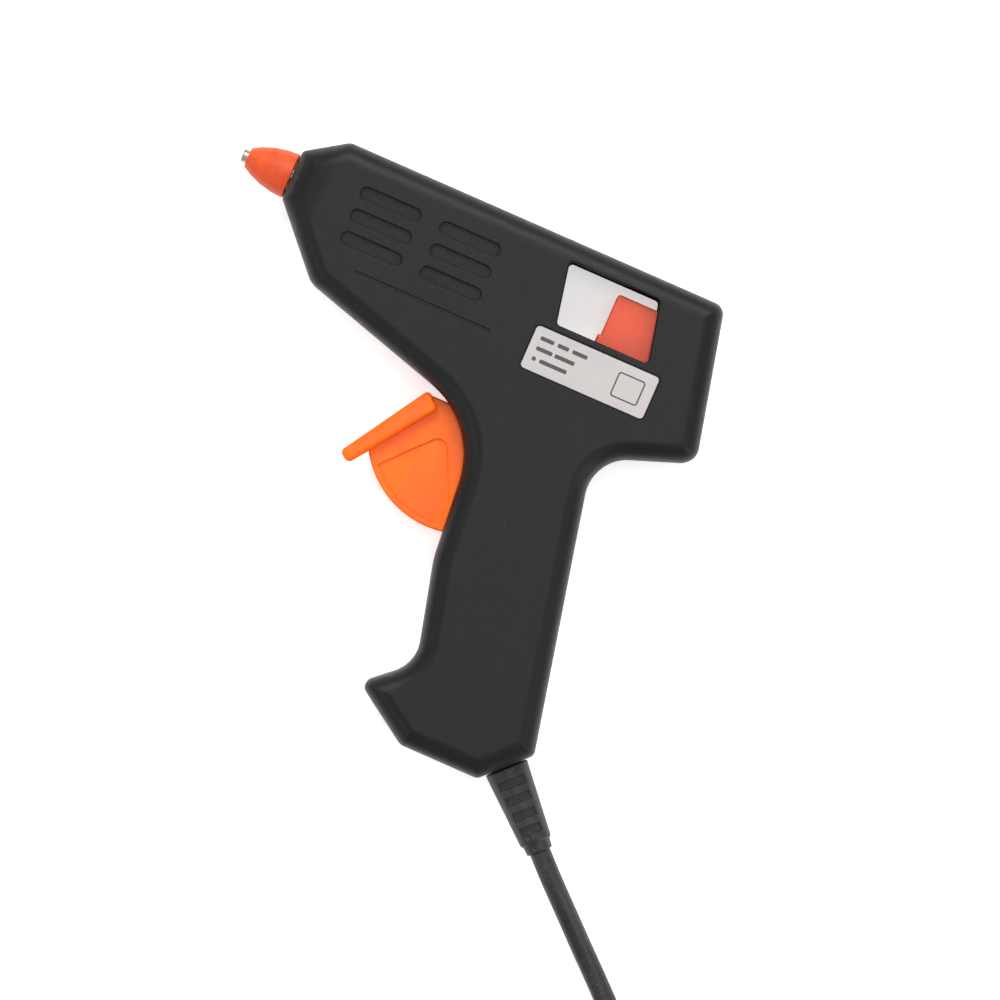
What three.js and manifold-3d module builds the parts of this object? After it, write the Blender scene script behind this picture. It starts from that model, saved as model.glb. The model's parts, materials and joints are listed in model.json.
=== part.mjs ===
// Mini hot-melt glue gun, lying on its right side, in millimetres.
//
// X runs from the nozzle (negative) to the rear of the barrel, Y runs up the gun from
// the butt of the handle to the top of the barrel, and Z is the gun's thickness.
// The right housing half lies on z = 0 and the left half is on top of it. The pieces are
// drawn from a point near the trigger's pivot, and the finished gun is then moved so that
// its origin is on the flat side of the handle.
import * as THREE from 'three';
import { mergeVertices } from 'three/addons/utils/BufferGeometryUtils.js';
import Module from 'manifold-3d';

const wasm = await Module();
wasm.setup();

// ---------------------------------------------------------------- driving dimensions

const ORIGIN = { x: 16, y: 0 }; // the finished gun's origin, as drawn here
const THICK = 24; // the whole gun
const MID = THICK / 2; // the parting plane
const WALL = 2; // housing wall
const SEAM = 0.15; // half of the gap between the two housing halves
const GAP = 0.3; // between pieces that touch
const EDGE_R = 4.8; // rounded outer edge of each housing half
const ARC_STEP = 18; // degrees between the points of an arc
const LEAST_R = 0.4; // the smallest radius that an inset corner keeps
const RIB_H = MID - 1; // how far a rib reaches into the housing's wall

// Housing outline: x, y and radius of each corner, counter-clockwise from the top.
const HOUSING = [
  [-50, 53.5, 3],
  [-59.5, 47.3, 1.5],
  [-59.5, 35.3, 1.5],
  [-45.5, 20, 5],
  [3.2, 5.8, 21],
  [6.2, -27, 20],
  [12.4, -51.1, 9],
  [2.1, -60.2, 2],
  [16.5, -69.7, 3],
  [36, -69.7, 2],
  [46, -59.5, 2],
  [30.6, 9.1, 10],
  [53.2, 17.5, 4],
  [44.6, 53.5, 3],
];
const NOSE = { x: -51.5, tipX: -60.5, tipH: 6.8 }; // each side tapers towards the nozzle
const NOSE_SPAN = { low: 10, high: 70 }; // past the nose's bottom and top
const CAVITY_EDGE = 3; // chamfer of the cavity where the wall turns

const BARREL = { y: 41, bore: 4.2 }; // axis of the glue stick, and its guide radius
const VENT = { w: 15, h: 3, deep: 1.1, x: [-43.2, -23.2], y: [44, 38.4, 32.8] };
const WINDOW = [
  [7.5, 48.8, 1],
  [10.6, 34, 1],
  [33.6, 34, 1],
  [30.2, 48.8, 1],
];
const LABEL = { x: [6.6, 37.5], y: [21.7, 32.2], r: 1, thick: 0.3, recess: 0.6 };
const SCREWS = [
  [-42, 25],
  [-9, 19.5],
  [46, 24.5],
  [15, -33.5],
  [14.5, -60],
];
const SCREW = { head: 2.7, shank: 1.3, headLong: 1.7, seat: 4.7, tip: 19.2 };
const CROSS = { half: 1.5, thin: 0.35, deep: 0.8 }; // driver recess in a screw's head
const POST_R = 4.5; // screw post of the right half
const BOSS_R = 3.2; // screw boss of the left half
// Half-round seats for the melt chamber's neck and its rear end.
const SEATS = [
  { x: [-53.4, -51.8], y: [33, 49], r: 4.9 },
  { x: [-15.4, -13.9], y: [34.6, 51.8], r: 7.3 },
];
const RAIL = { x: [13, 42], low: 30.4, h: 6 }; // what the feed carriage slides on

const PIVOT = { x: 3, y: 3, pin: 1.25, boss: 4, end: 3 };
const SLOT = { x: [-11, 9], y: [-22.4, 8.9], w: 8 };
const TRIGGER = { plate: 14, web: 7, arm: 10.4, armEnd: 29.9, slotHalf: 1.7, slotFrom: 24.2 };
const WEB_ARC = { x: 1.5, y: 1.5, r: 22.5, from: 210, to: 289 };
const WEB_PANEL = { rim: 1.6, sunk: 0.7, from: 221, to: 277 }; // recess in both faces of the web
const DRIVE = { x: 17.5, y: 27.5, r: 1.2 }; // pin between the trigger's fork and the jaw
const JAW = { x: 30, y: 34.6, r: 1.1, w: 5, pin: [5, 18.8] }; // the jaw's own pin in the carriage
const CARRIAGE = { x: [20.9, 38], step: 0.7, y: [33.2, 46.3], stepY: 36, w: 15 };

const LUG = { x: 15.04, y: 9.82 }; // hole for the return spring in the trigger
const SPRING_POST = { x: 26.6, y: 5.8, r: 1.6, top: 14.7 };
const CHAMBER = { x: [-54.5, -12], r: 7, block: [-37.4, -16.5], blockY: 26.6, blockW: 12 };
const POCKET = { y: [28, 34.2], w: 9.4 };
const NOZZLE_HOLE = { x: [-62.5, -55.5], r: 4.3 };
const STICK_HOLE = { x: [42, 56], r: 4.9 };

const EXIT = { x: 41, y: -64.6, dirX: 0.714, dirY: -0.7, hole: 3.6 };
// The cord's clamp inside the butt: how far it is behind the exit, and its two posts.
const CLAMP = { back: 12, half: 6.6, post: 2.6, pilot: 1.3, floor: 5, low: 14.4, bar: [14.8, 17] };
const CLAMP_SCREW = { head: 2, shank: 1, headLong: 1.4, seat: 17.3, tip: 7 };
const CORD_R = 2.5;
const CORD_Z = CORD_R + 0.05; // centre of the cord where it lies down
const COIL = { x: 81.8, y: -149.4, outer: 36.6, inner: 15.9, h: 10.3 };
const PLUG = { x: 46, y: -178.8, z: 7.6, heading: 172, w: 23, thick: 15, long: 27, nose: 12 };
const BLADE = { long: 16.5, in: 3, w: 6.35, thick: 1.5, apart: 12.7, hole: 1.5 };

// ---------------------------------------------------------------- colours

const BLACK_ABS = { color: 0x232326, roughness: 0.55, metalness: 0 };
const ORANGE = { color: 0xff7a22, roughness: 0.45, metalness: 0 };
const SILICONE = { color: 0xe0552a, roughness: 0.6, metalness: 0 };
const STEEL = { color: 0xb9bcc0, roughness: 0.3, metalness: 1 };
const CAST = { color: 0xa8a9ab, roughness: 0.5, metalness: 0.9 };
const BRASS = { color: 0xc9a24a, roughness: 0.35, metalness: 1 };
const CERAMIC = { color: 0x4c4a48, roughness: 0.7, metalness: 0 };
const FILM = { color: 0xb8742a, roughness: 0.4, metalness: 0 };
const SILVER_LABEL = { color: 0xc8c3c2, roughness: 0.4, metalness: 0.2 };
const CORD_PVC = { color: 0x1c1c1e, roughness: 0.5, metalness: 0 };
const WHITE_PVC = { color: 0xdedbd2, roughness: 0.5, metalness: 0 };

// ---------------------------------------------------------------- shape helpers

const gun = new THREE.Group();

function addPiece(name, shape, finish) {
  const geometry = shape.isBufferGeometry ? shape : toGeometry(shape);
  const mesh = new THREE.Mesh(geometry, new THREE.MeshStandardMaterial(finish));
  mesh.name = name;
  gun.add(mesh);
  return mesh;
}

function toSolid(geometry) {
  const bare = geometry.clone();
  bare.deleteAttribute('normal');
  bare.deleteAttribute('uv');
  const merged = mergeVertices(bare);
  const mesh = new wasm.Mesh({
    numProp: 3,
    vertProperties: new Float32Array(merged.attributes.position.array),
    triVerts: new Uint32Array(merged.index.array),
  });
  return new wasm.Manifold(mesh);
}

function toGeometry(solid) {
  const mesh = solid.getMesh();
  const geometry = new THREE.BufferGeometry();
  geometry.setAttribute('position', new THREE.Float32BufferAttribute(mesh.vertProperties, 3));
  geometry.setIndex(new THREE.Uint32BufferAttribute(mesh.triVerts, 1));
  geometry.computeVertexNormals();
  return geometry;
}

// A closed outline with an arc at each corner, moved inwards by inset. A corner keeps
// its number of points at any inset, so that two outlines can be joined point to point.
function rounded(corners, inset = 0) {
  const at = corners.map(([x, y]) => new THREE.Vector2(x, y));
  const count = at.length;
  const along = at.map((p, i) => at[(i + 1) % count].clone().sub(p).normalize());
  const points = [];
  for (let i = 0; i < count; i += 1) {
    const before = along[(i + count - 1) % count];
    const after = along[i];
    const cross = before.x * after.y - before.y * after.x;
    const turn = Math.atan2(cross, before.dot(after));
    const side = Math.sign(turn);
    const radius = side > 0 ? Math.max(corners[i][2] - inset, LEAST_R) : corners[i][2] + inset;
    const inward = new THREE.Vector2(-before.y, before.x);
    const slide = inset * Math.tan(turn / 2);
    const corner = at[i].clone().addScaledVector(inward, inset).addScaledVector(before, -slide);
    const tangent = radius * Math.tan(Math.abs(turn) / 2);
    const start = corner.clone().addScaledVector(before, -tangent);
    const centre = start.clone().addScaledVector(inward, side * radius);
    const steps = Math.max(1, Math.round(THREE.MathUtils.radToDeg(Math.abs(turn)) / ARC_STEP));
    for (let k = 0; k <= steps; k += 1) {
      points.push(start.clone().rotateAround(centre, (turn * k) / steps));
    }
  }
  return points;
}

function plain(corners) {
  return corners.map(([x, y]) => new THREE.Vector2(x, y));
}

function circle(x, y, r, sides = 16) {
  return Array.from({ length: sides }, (_, i) => {
    const angle = (2 * Math.PI * (i + 0.5)) / sides;
    return new THREE.Vector2(x + r * Math.cos(angle), y + r * Math.sin(angle));
  });
}

function box(x, y) {
  return plain([
    [x[0], y[0]],
    [x[1], y[0]],
    [x[1], y[1]],
    [x[0], y[1]],
  ]);
}

// A straight solid over an outline, between two heights.
function prism(outline, low, high) {
  const geometry = new THREE.ExtrudeGeometry(new THREE.Shape(outline), {
    depth: high - low,
    bevelEnabled: false,
  });
  geometry.translate(0, 0, low);
  return toSolid(geometry);
}

// A prism centred on the parting plane.
function midPrism(outline, width) {
  return prism(outline, MID - width / 2, MID + width / 2);
}

// A solid through matching outlines at rising heights.
function loft(levels) {
  const count = levels[0].outline.length;
  const positions = [];
  const faces = [];
  for (const { outline, z } of levels) {
    for (const p of outline) positions.push(p.x, p.y, z);
  }
  for (let row = 0; row + 1 < levels.length; row += 1) {
    for (let i = 0; i < count; i += 1) {
      const a = row * count + i;
      const b = row * count + ((i + 1) % count);
      faces.push(a, b, b + count, a, b + count, a + count);
    }
  }
  const top = (levels.length - 1) * count;
  for (const [a, b, c] of THREE.ShapeUtils.triangulateShape(levels[0].outline, [])) {
    faces.push(a, c, b);
  }
  for (const [a, b, c] of THREE.ShapeUtils.triangulateShape(levels.at(-1).outline, [])) {
    faces.push(top + a, top + b, top + c);
  }
  const geometry = new THREE.BufferGeometry();
  geometry.setAttribute('position', new THREE.Float32BufferAttribute(positions, 3));
  geometry.setIndex(faces);
  return toSolid(geometry);
}

// A turned solid. Its profile is [distance along the axis, radius] pairs, and the axis
// starts at a point and runs in a direction of the XY plane.
function turned(profile, x, y, dirX, dirY, sides = 16, z = MID) {
  const points = profile.map(([along, r]) => new THREE.Vector2(r, along));
  const geometry = new THREE.LatheGeometry(points, sides);
  const axis = new THREE.Vector3(dirX, dirY, 0).normalize();
  const turn = new THREE.Quaternion().setFromUnitVectors(new THREE.Vector3(0, 1, 0), axis);
  geometry.applyQuaternion(turn);
  geometry.translate(x, y, z);
  return rightWayOut(toSolid(geometry), geometry);
}

// A solid turned about the cord's line at its exit.
function exitTurned(profile) {
  return turned(profile, EXIT.x, EXIT.y, EXIT.dirX, EXIT.dirY, 16);
}

// A solid turned about a vertical axis.
function upright(profile, x, y, sides = 16) {
  const points = profile.map(([z, r]) => new THREE.Vector2(r, z));
  const geometry = new THREE.LatheGeometry(points, sides);
  geometry.rotateX(Math.PI / 2);
  geometry.translate(x, y, 0);
  return rightWayOut(toSolid(geometry), geometry);
}

// A profile may be listed either way round: this turns an inside-out solid over.
function rightWayOut(solid, geometry) {
  if (solid.volume() > 0) return solid;
  const flipped = mergeVertices(geometry.clone().deleteAttribute('normal').deleteAttribute('uv'));
  flipped.setIndex([...flipped.index.array].reverse());
  return toSolid(flipped);
}

function rod(x, y, r, low, high, sides = 16) {
  return prism(circle(x, y, r, sides), low, high);
}

function barrelRod(from, to, r, sides = 20) {
  return turned([[from, 0], [from, r], [to, r], [to, 0]], 0, BARREL.y, 1, 0, sides);
}

function union(solids) {
  return solids.reduce((sum, next) => sum.add(next));
}

function cut(solid, ...tools) {
  return tools.reduce((left, tool) => left.subtract(tool), solid);
}

// A round section swept along a smooth curve through the points.
function sweep(points, r, sides, steps) {
  const curve = new THREE.CatmullRomCurve3(points.map((p) => new THREE.Vector3(...p)));
  return new THREE.ExtrudeGeometry(new THREE.Shape(circle(0, 0, r, sides)), {
    extrudePath: curve,
    steps,
    bevelEnabled: false,
  });
}

// ---------------------------------------------------------------- housing halves

// Each half is described by its distance h from the parting plane. side is 1 for the
// left half, above the plane, and -1 for the right half, below it.
function slab(outline, side, near, far) {
  const heights = [MID + side * near, MID + side * far].sort((a, b) => a - b);
  return prism(outline, ...heights);
}

function shell(side, grow, edge, reach, segments) {
  const levels = [{ outline: rounded(HOUSING, grow), h: grow > 0 ? 0 : SEAM }];
  for (let k = 0; k <= segments; k += 1) {
    const angle = (Math.PI / 2) * (k / segments);
    const inset = grow + edge * (1 - Math.cos(angle));
    levels.push({ outline: rounded(HOUSING, inset), h: reach - edge + edge * Math.sin(angle) });
  }
  const rising = levels.map(({ outline, h }) => ({ outline, z: MID + side * h }));
  return loft(side > 0 ? rising : rising.reverse());
}

// What the tapered nose takes off one side, measured inwards by a wall thickness.
function noseCut(side, inward) {
  const start = NOSE.x + inward / 2;
  const profile = plain([
    [start, MID - inward],
    [NOSE.tipX, NOSE.tipH - inward],
    [NOSE.tipX, MID + 1],
    [start, MID + 1],
  ]);
  const geometry = new THREE.ExtrudeGeometry(new THREE.Shape(profile), {
    depth: NOSE_SPAN.high - NOSE_SPAN.low,
    bevelEnabled: false,
  });
  geometry.rotateX(Math.PI / 2);
  geometry.translate(0, NOSE_SPAN.high, 0);
  geometry.scale(1, 1, side);
  geometry.translate(0, 0, MID);
  return rightWayOut(toSolid(geometry), geometry);
}

function saddles(side) {
  return SEATS.map(({ x, y, r }) =>
    cut(slab(box(x, y), side, SEAM, RIB_H), barrelRod(x[0] - 1, x[1] + 1, r)),
  );
}

function screwColumns(side) {
  return SCREWS.map(([x, y]) => {
    const outline = circle(x, y, side > 0 ? BOSS_R : POST_R);
    return slab(outline, side, SEAM, RIB_H);
  });
}

function screwHoles(side) {
  const shank = SCREW.shank + GAP;
  return SCREWS.flatMap(([x, y]) => {
    if (side > 0) return [rod(x, y, shank, MID - 1, SCREW.tip + 2 * GAP, 12)];
    const head = rod(x, y, SCREW.head + GAP, -1, SCREW.seat + GAP, 14);
    return [rod(x, y, shank, 1, MID + 1, 12), head];
  });
}

// Rows of shallow slots that are sunk into each side of the barrel.
function ventSlots(side) {
  const half = VENT.h / 2;
  const r = half - 0.03;
  return VENT.x.flatMap((x) =>
    VENT.y.map((y) => {
      const corners = box([x, x + VENT.w], [y - half, y + half]).map((p) => [p.x, p.y, r]);
      return slab(rounded(corners), side, MID - VENT.deep, MID + 1);
    }),
  );
}

function carriageRail(side) {
  return slab(box(RAIL.x, [RAIL.low, CARRIAGE.y[0] - GAP]), side, RAIL.h, RIB_H);
}

// A point on the cord's line at the exit, and off to one side of it.
function alongExit(distance, across = 0) {
  return {
    x: EXIT.x + EXIT.dirX * distance - EXIT.dirY * across,
    y: EXIT.y + EXIT.dirY * distance + EXIT.dirX * across,
  };
}

const CLAMP_POSTS = [-1, 1].map((side) => alongExit(-CLAMP.back, side * CLAMP.half));

function clampPosts() {
  return CLAMP_POSTS.map(({ x, y }) =>
    cut(rod(x, y, CLAMP.post, 1, CLAMP.low), rod(x, y, CLAMP.pilot, CLAMP.floor, THICK, 12)),
  );
}

function housingHalf(side) {
  const outer = cut(shell(side, 0, EDGE_R, MID, 4), noseCut(side, 0));
  const cavity = cut(shell(side, WALL, CAVITY_EDGE, MID - WALL, 1), noseCut(side, WALL));
  let half = cut(outer, cavity);
  const ribs = [
    ...screwColumns(side),
    ...saddles(side),
    carriageRail(side),
    slab(circle(PIVOT.x, PIVOT.y, PIVOT.boss), side, SLOT.w / 2, RIB_H),
  ];
  half = cut(half, slab(box(SLOT.x, SLOT.y), side, 0, SLOT.w / 2));
  half = half.add(union(ribs).intersect(outer));
  if (side < 0) {
    const post = rod(SPRING_POST.x, SPRING_POST.y, SPRING_POST.r, 1, SPRING_POST.top, 12);
    half = half.add(union([...clampPosts(), post]));
  }
  const holes = [
    ...screwHoles(side),
    ...ventSlots(side),
    slab(rounded(WINDOW), side, -1, MID + 1),
    barrelRod(...NOZZLE_HOLE.x, NOZZLE_HOLE.r),
    barrelRod(...STICK_HOLE.x, STICK_HOLE.r),
    rod(PIVOT.x, PIVOT.y, PIVOT.pin + GAP, PIVOT.end - GAP, THICK - PIVOT.end + GAP),
    exitTurned([[-8, 0], [-8, EXIT.hole], [3, EXIT.hole], [3, 0]]),
  ];
  if (side > 0) holes.push(slab(labelOutline(GAP), side, MID - LABEL.recess, MID + 1));
  return cut(half, ...holes);
}

function labelOutline(grow) {
  const corners = box(
    [LABEL.x[0] - grow, LABEL.x[1] + grow],
    [LABEL.y[0] - grow, LABEL.y[1] + grow],
  );
  return rounded(corners.map((p) => [p.x, p.y, LABEL.r + grow]));
}

addPiece('left_housing', housingHalf(1), BLACK_ABS);
addPiece('right_housing', housingHalf(-1), BLACK_ABS);
addPiece('rating_label', slab(labelOutline(0), 1, MID - LABEL.thick, MID), SILVER_LABEL);

// ---------------------------------------------------------------- housing screws

// A cross-head screw from its seat to its tip, which is above or below the seat.
function screw(x, y, { head, shank, headLong, seat, tip }) {
  const up = Math.sign(tip - seat);
  const top = seat - up * headLong;
  const profile = [
    [top, 0],
    [top, head * 0.8],
    [seat - up * headLong * 0.6, head],
    [seat, head],
    [seat, shank],
    [tip - up * 1.2, shank],
    [tip, 0],
  ];
  const bars = [
    [CROSS.thin, CROSS.half],
    [CROSS.half, CROSS.thin],
  ];
  const [low, high] = [top - up, top + up * CROSS.deep].sort((a, b) => a - b);
  const recess = bars.map(([w, h]) => prism(box([x - w, x + w], [y - h, y + h]), low, high));
  return cut(upright(profile, x, y, 14), ...recess);
}

SCREWS.forEach(([x, y], i) => {
  addPiece(`housing_screw_${i + 1}`, screw(x, y, SCREW), STEEL);
});

// ---------------------------------------------------------------- hot end

const capProfile = [
  [-59.8, 3.7],
  [-59.8, 5.5],
  [-63, 5.25],
  [-66, 4.6],
  [-68.8, 3.5],
  [-70.8, 2.35],
  [-70.8, 1.95],
  [-68.6, 2.8],
  [-66, 3.7],
  [-63, 3.8],
  [-59.8, 3.7],
];
addPiece('nozzle_cap', turned(capProfile, 0, BARREL.y, 1, 0, 24), SILICONE);

const nozzleProfile = [
  [-72.2, 0.75],
  [-72.2, 1.6],
  [-70.4, 1.6],
  [-68.8, 2.2],
  [-66, 3.1],
  [-63, 3.35],
  [-55.8, 3.35],
  [-55.8, 4.4],
  [-54.9, 4.4],
  [-54.9, 3.1],
  [-50.2, 3.1],
  [-50.2, 2.4],
  [-64, 2.4],
  [-67.5, 1.3],
  [-70.5, 0.75],
  [-72.2, 0.75],
];
addPiece('nozzle', turned(nozzleProfile, 0, BARREL.y, 1, 0, 20), BRASS);
const ball = new THREE.SphereGeometry(1.7, 12, 8);
ball.translate(-64.8, BARREL.y, MID);
addPiece('check_ball', ball, STEEL);

function helix(axisFrom, axisTo, r, turns, perTurn) {
  const [a, b] = [new THREE.Vector3(...axisFrom), new THREE.Vector3(...axisTo)];
  const axis = b.clone().sub(a);
  const up = new THREE.Vector3(0, 0, 1);
  const across = axis.clone().normalize().cross(up);
  const points = [];
  for (let k = 0; k <= turns * perTurn; k += 1) {
    const share = k / (turns * perTurn);
    const angle = 2 * Math.PI * turns * share;
    const p = a.clone().addScaledVector(axis, share);
    p.addScaledVector(across, r * Math.cos(angle)).addScaledVector(up, r * Math.sin(angle));
    points.push(p.toArray());
  }
  return points;
}

const checkCoil = helix([-62.3, BARREL.y, MID], [-53, BARREL.y, MID], 1.6, 5, 8);
addPiece('check_spring', sweep(checkCoil, 0.25, 5, 50), STEEL);

function meltChamber() {
  const body = barrelRod(CHAMBER.x[0], CHAMBER.x[1], CHAMBER.r, 24);
  const neck = barrelRod(CHAMBER.x[0] - GAP, -49, 4.6);
  const front = barrelRod(CHAMBER.x[0] - 1, -50, CHAMBER.r + 1);
  const block = midPrism(box(CHAMBER.block, [CHAMBER.blockY, 38]), CHAMBER.blockW);
  const pocket = midPrism(box([CHAMBER.block[0] - 1, CHAMBER.block[1] + 1], POCKET.y), POCKET.w);
  const bore = turned(
    [[-56, 0], [-56, 3.4], [-49.9, 3.4], [-49.9, 0]],
    0, BARREL.y, 1, 0, 20,
  );
  const stick = turned(
    [[-51, 0], [-51, 2.4], [-44, 3.9], [-10, 3.9], [-10, 0]],
    0, BARREL.y, 1, 0, 20,
  );
  return cut(union([cut(body, front), neck, block]), pocket, bore, stick);
}
addPiece('melt_chamber', meltChamber(), CAST);

// Heater stack, from the bottom of the pocket: film sleeve, electrode, plate, electrode.
const STACK = { x: [-36.9, -17.1], film: 0.35, plate: 2.1, electrode: 0.5, half: 4.4 };
const stackMid = (POCKET.y[0] + POCKET.y[1]) / 2;
const filmHalf = (POCKET.y[1] - POCKET.y[0]) / 2 - GAP;
function stackBar(low, high, half, x = STACK.x) {
  return midPrism(box(x, [stackMid + low, stackMid + high]), half * 2);
}
const filmHole = stackBar(
  -filmHalf + STACK.film, filmHalf - STACK.film, STACK.half - STACK.film,
  [STACK.x[0] - 1, STACK.x[1] + 1],
);
const film = cut(stackBar(-filmHalf, filmHalf, STACK.half), filmHole);
addPiece('heater_insulation', film, FILM);
const plateHalf = STACK.plate / 2;
addPiece('ptc_heater', stackBar(-plateHalf, plateHalf, 3.6, [-35.5, -19]), CERAMIC);
const electrodeFar = plateHalf + GAP + STACK.electrode;
for (const [name, sign] of [['electrode_upper', 1], ['electrode_lower', -1]]) {
  const heights = [sign * (plateHalf + GAP), sign * electrodeFar].sort((a, b) => a - b);
  addPiece(name, stackBar(...heights, 3.4, [-36.5, -12]), BRASS);
}

// Spring clip that presses the heater stack: a C-shaped strap round the block.
function heaterClip() {
  const [low, high] = [CHAMBER.blockY - GAP, 38.6];
  const half = CHAMBER.blockW / 2 + GAP;
  const strap = midPrism(box([-30.5, -23.5], [low - 0.7, 33.4]), (half + 0.7) * 2);
  const inside = midPrism(box([-31.5, -22.5], [low, high]), half * 2);
  return cut(strap, inside);
}
addPiece('heater_clip', heaterClip(), STEEL);

const collarProfile = [
  [-11.6, 4],
  [-11.6, 6.6],
  [-6, 6.2],
  [-4, 5.4],
  [3, 5.1],
  [3, 4],
  [-11.6, 4],
];
addPiece('stick_collar', turned(collarProfile, 0, BARREL.y, 1, 0, 20), SILICONE);

// ---------------------------------------------------------------- feed mechanism

const pivotPin = rod(PIVOT.x, PIVOT.y, PIVOT.pin, PIVOT.end, THICK - PIVOT.end, 14);
addPiece('trigger_pivot_pin', pivotPin, STEEL);

function webArc(r, from, to) {
  const points = [];
  for (let angle = from; angle <= to; angle += ARC_STEP / 3) {
    const turn = THREE.MathUtils.degToRad(angle);
    points.push([WEB_ARC.x + r * Math.cos(turn), WEB_ARC.y + r * Math.sin(turn)]);
  }
  return points;
}

function trigger() {
  const plate = rounded([
    [-23.7, -12.9, 1.2],
    [-21, -14.9, 1.2],
    [-6.7, 5, 1.2],
    [-10.4, 8.4, 1.2],
  ]);
  const arc = webArc(WEB_ARC.r, WEB_ARC.from, WEB_ARC.to);
  const web = plain([[-9.8, 7.4], ...arc, [8.8, -19.8], [8.2, 3], [5, 7.4]]);
  const panelArc = webArc(WEB_ARC.r - WEB_PANEL.rim, WEB_PANEL.from, WEB_PANEL.to);
  const panel = plain([...panelArc, [4.3, -14], [-2.6, 0.6]]);
  const reach = new THREE.Vector2(DRIVE.x - PIVOT.x, DRIVE.y - PIVOT.y);
  const angle = reach.angle();
  const armBar = (from, to, across) =>
    box([from, to], across.length ? across : [-across, across]).map((p) =>
      p.rotateAround(new THREE.Vector2(), angle).add(new THREE.Vector2(PIVOT.x, PIVOT.y)),
    );
  const solid = union([
    midPrism(plate, TRIGGER.plate),
    midPrism(web, TRIGGER.web),
    midPrism(circle(PIVOT.x, PIVOT.y, 4.4), TRIGGER.web),
    midPrism(armBar(2, 12, 3.6), TRIGGER.web),
    midPrism(armBar(8, TRIGGER.armEnd, 3.5), TRIGGER.arm),
    midPrism(armBar(10, 14, [-8.6, 0]), 3),
  ]);
  const face = MID + TRIGGER.web / 2;
  return cut(
    solid,
    prism(panel, face - WEB_PANEL.sunk, THICK),
    prism(panel, 0, THICK - face + WEB_PANEL.sunk),
    midPrism(armBar(22, TRIGGER.armEnd + 1, 5), JAW.w + 2 * GAP),
    midPrism(armBar(TRIGGER.slotFrom, TRIGGER.armEnd + 1, TRIGGER.slotHalf), THICK),
    rod(PIVOT.x, PIVOT.y, PIVOT.pin + GAP, 2, THICK - 2),
    midPrism(circle(LUG.x, LUG.y, 0.9, 10), 6),
  );
}
addPiece('trigger', trigger(), ORANGE);

function feedCarriage() {
  const outline = plain([
    [CARRIAGE.x[0] - CARRIAGE.step, CARRIAGE.y[0]],
    [CARRIAGE.x[1], CARRIAGE.y[0]],
    [CARRIAGE.x[1], CARRIAGE.y[1]],
    [CARRIAGE.x[0], CARRIAGE.y[1]],
    [CARRIAGE.x[0], CARRIAGE.stepY],
    [CARRIAGE.x[0] - CARRIAGE.step, CARRIAGE.stepY],
  ]);
  return cut(
    midPrism(outline, CARRIAGE.w),
    barrelRod(CARRIAGE.x[0] - 2, CARRIAGE.x[1] + 1, BARREL.bore),
    midPrism(box([18, 33.4], [30, BARREL.y]), JAW.w + 2 * GAP),
    rod(JAW.x, JAW.y, JAW.r + GAP, 0, JAW.pin[1] + GAP, 12),
  );
}
addPiece('feed_carriage', feedCarriage(), SILICONE);

function gripJaw() {
  const teeth = [];
  for (let x = 29; x > 21.6; x -= 1.8) teeth.push([x, 36.4], [x - 1.5, 37.2]);
  const outline = plain([
    [14.9, 27.6],
    [15.7, 25.7],
    [17.6, 24.9],
    [19.6, 25.7],
    [24, 29.6],
    [31.4, 32.4],
    [32.4, 34.6],
    [31.6, 36.2],
    ...teeth,
    [20.8, 35.2],
    [21.4, 33.4],
    [16.2, 29.8],
  ]);
  return cut(
    midPrism(outline, JAW.w),
    rod(JAW.x, JAW.y, JAW.r + GAP, 0, THICK, 12),
    rod(DRIVE.x, DRIVE.y, DRIVE.r + GAP, 0, THICK, 12),
  );
}
addPiece('grip_jaw', gripJaw(), STEEL);
addPiece('jaw_pin', rod(JAW.x, JAW.y, JAW.r, ...JAW.pin, 12), STEEL);
addPiece('drive_pin', rod(DRIVE.x, DRIVE.y, DRIVE.r, 7, THICK - 7, 12), STEEL);

// Return spring between the trigger's lug and a post of the right half.
function returnSpring() {
  const z = MID + 2.3;
  const coil = helix([18.4, 8.6, z - 1.9], [23.4, 6.9, z - 1.9], 1.9, 5, 8);
  const hookOn = [
    [LUG.x, LUG.y, MID - 2.4],
    [LUG.x, LUG.y, MID + 1.6],
    [LUG.x + 1.6, LUG.y + 0.2, z + 0.3],
  ];
  const hookOff = [120, 60, 0, -60, -110].map((degrees) => {
    const angle = THREE.MathUtils.degToRad(degrees);
    const reach = SPRING_POST.r + 0.8;
    return [SPRING_POST.x + reach * Math.cos(angle), SPRING_POST.y + reach * Math.sin(angle), z];
  });
  return sweep([...hookOn, ...coil, ...hookOff], 0.4, 5, 72);
}
addPiece('return_spring', returnSpring(), STEEL);

// ---------------------------------------------------------------- cord and wiring

const reliefProfile = [
  [-5, 0],
  [-5, 4.8],
  [-WALL - GAP, 4.8],
  [-WALL - GAP, 3.2],
  [GAP, 3.2],
  [GAP, 5.3],
  [3, 5.2],
];
const RIBS = { count: 4, first: 3.4, pitch: 3.8, wide: 2.3, r: 5, taper: 0.36, deep: 1.3 };
for (let i = 0; i < RIBS.count; i += 1) {
  const start = RIBS.first + i * RIBS.pitch;
  const rib = start + RIBS.pitch - RIBS.wide;
  const r = RIBS.r - RIBS.taper * i;
  reliefProfile.push([start, r - RIBS.deep], [rib, r - RIBS.deep], [rib, r], [start + 3.5, r - 0.1]);
}
reliefProfile.push([19, 3.4], [21.4, 3.2], [21.4, 0]);
addPiece('strain_relief', exitTurned(reliefProfile), CORD_PVC);

const jacket = [-5.3, -9, -13, -17].map((d) => {
  const { x, y } = alongExit(d);
  return [x, y, MID];
});
addPiece('jacket_end', sweep(jacket, CORD_R, 10, 4), CORD_PVC);

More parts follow.
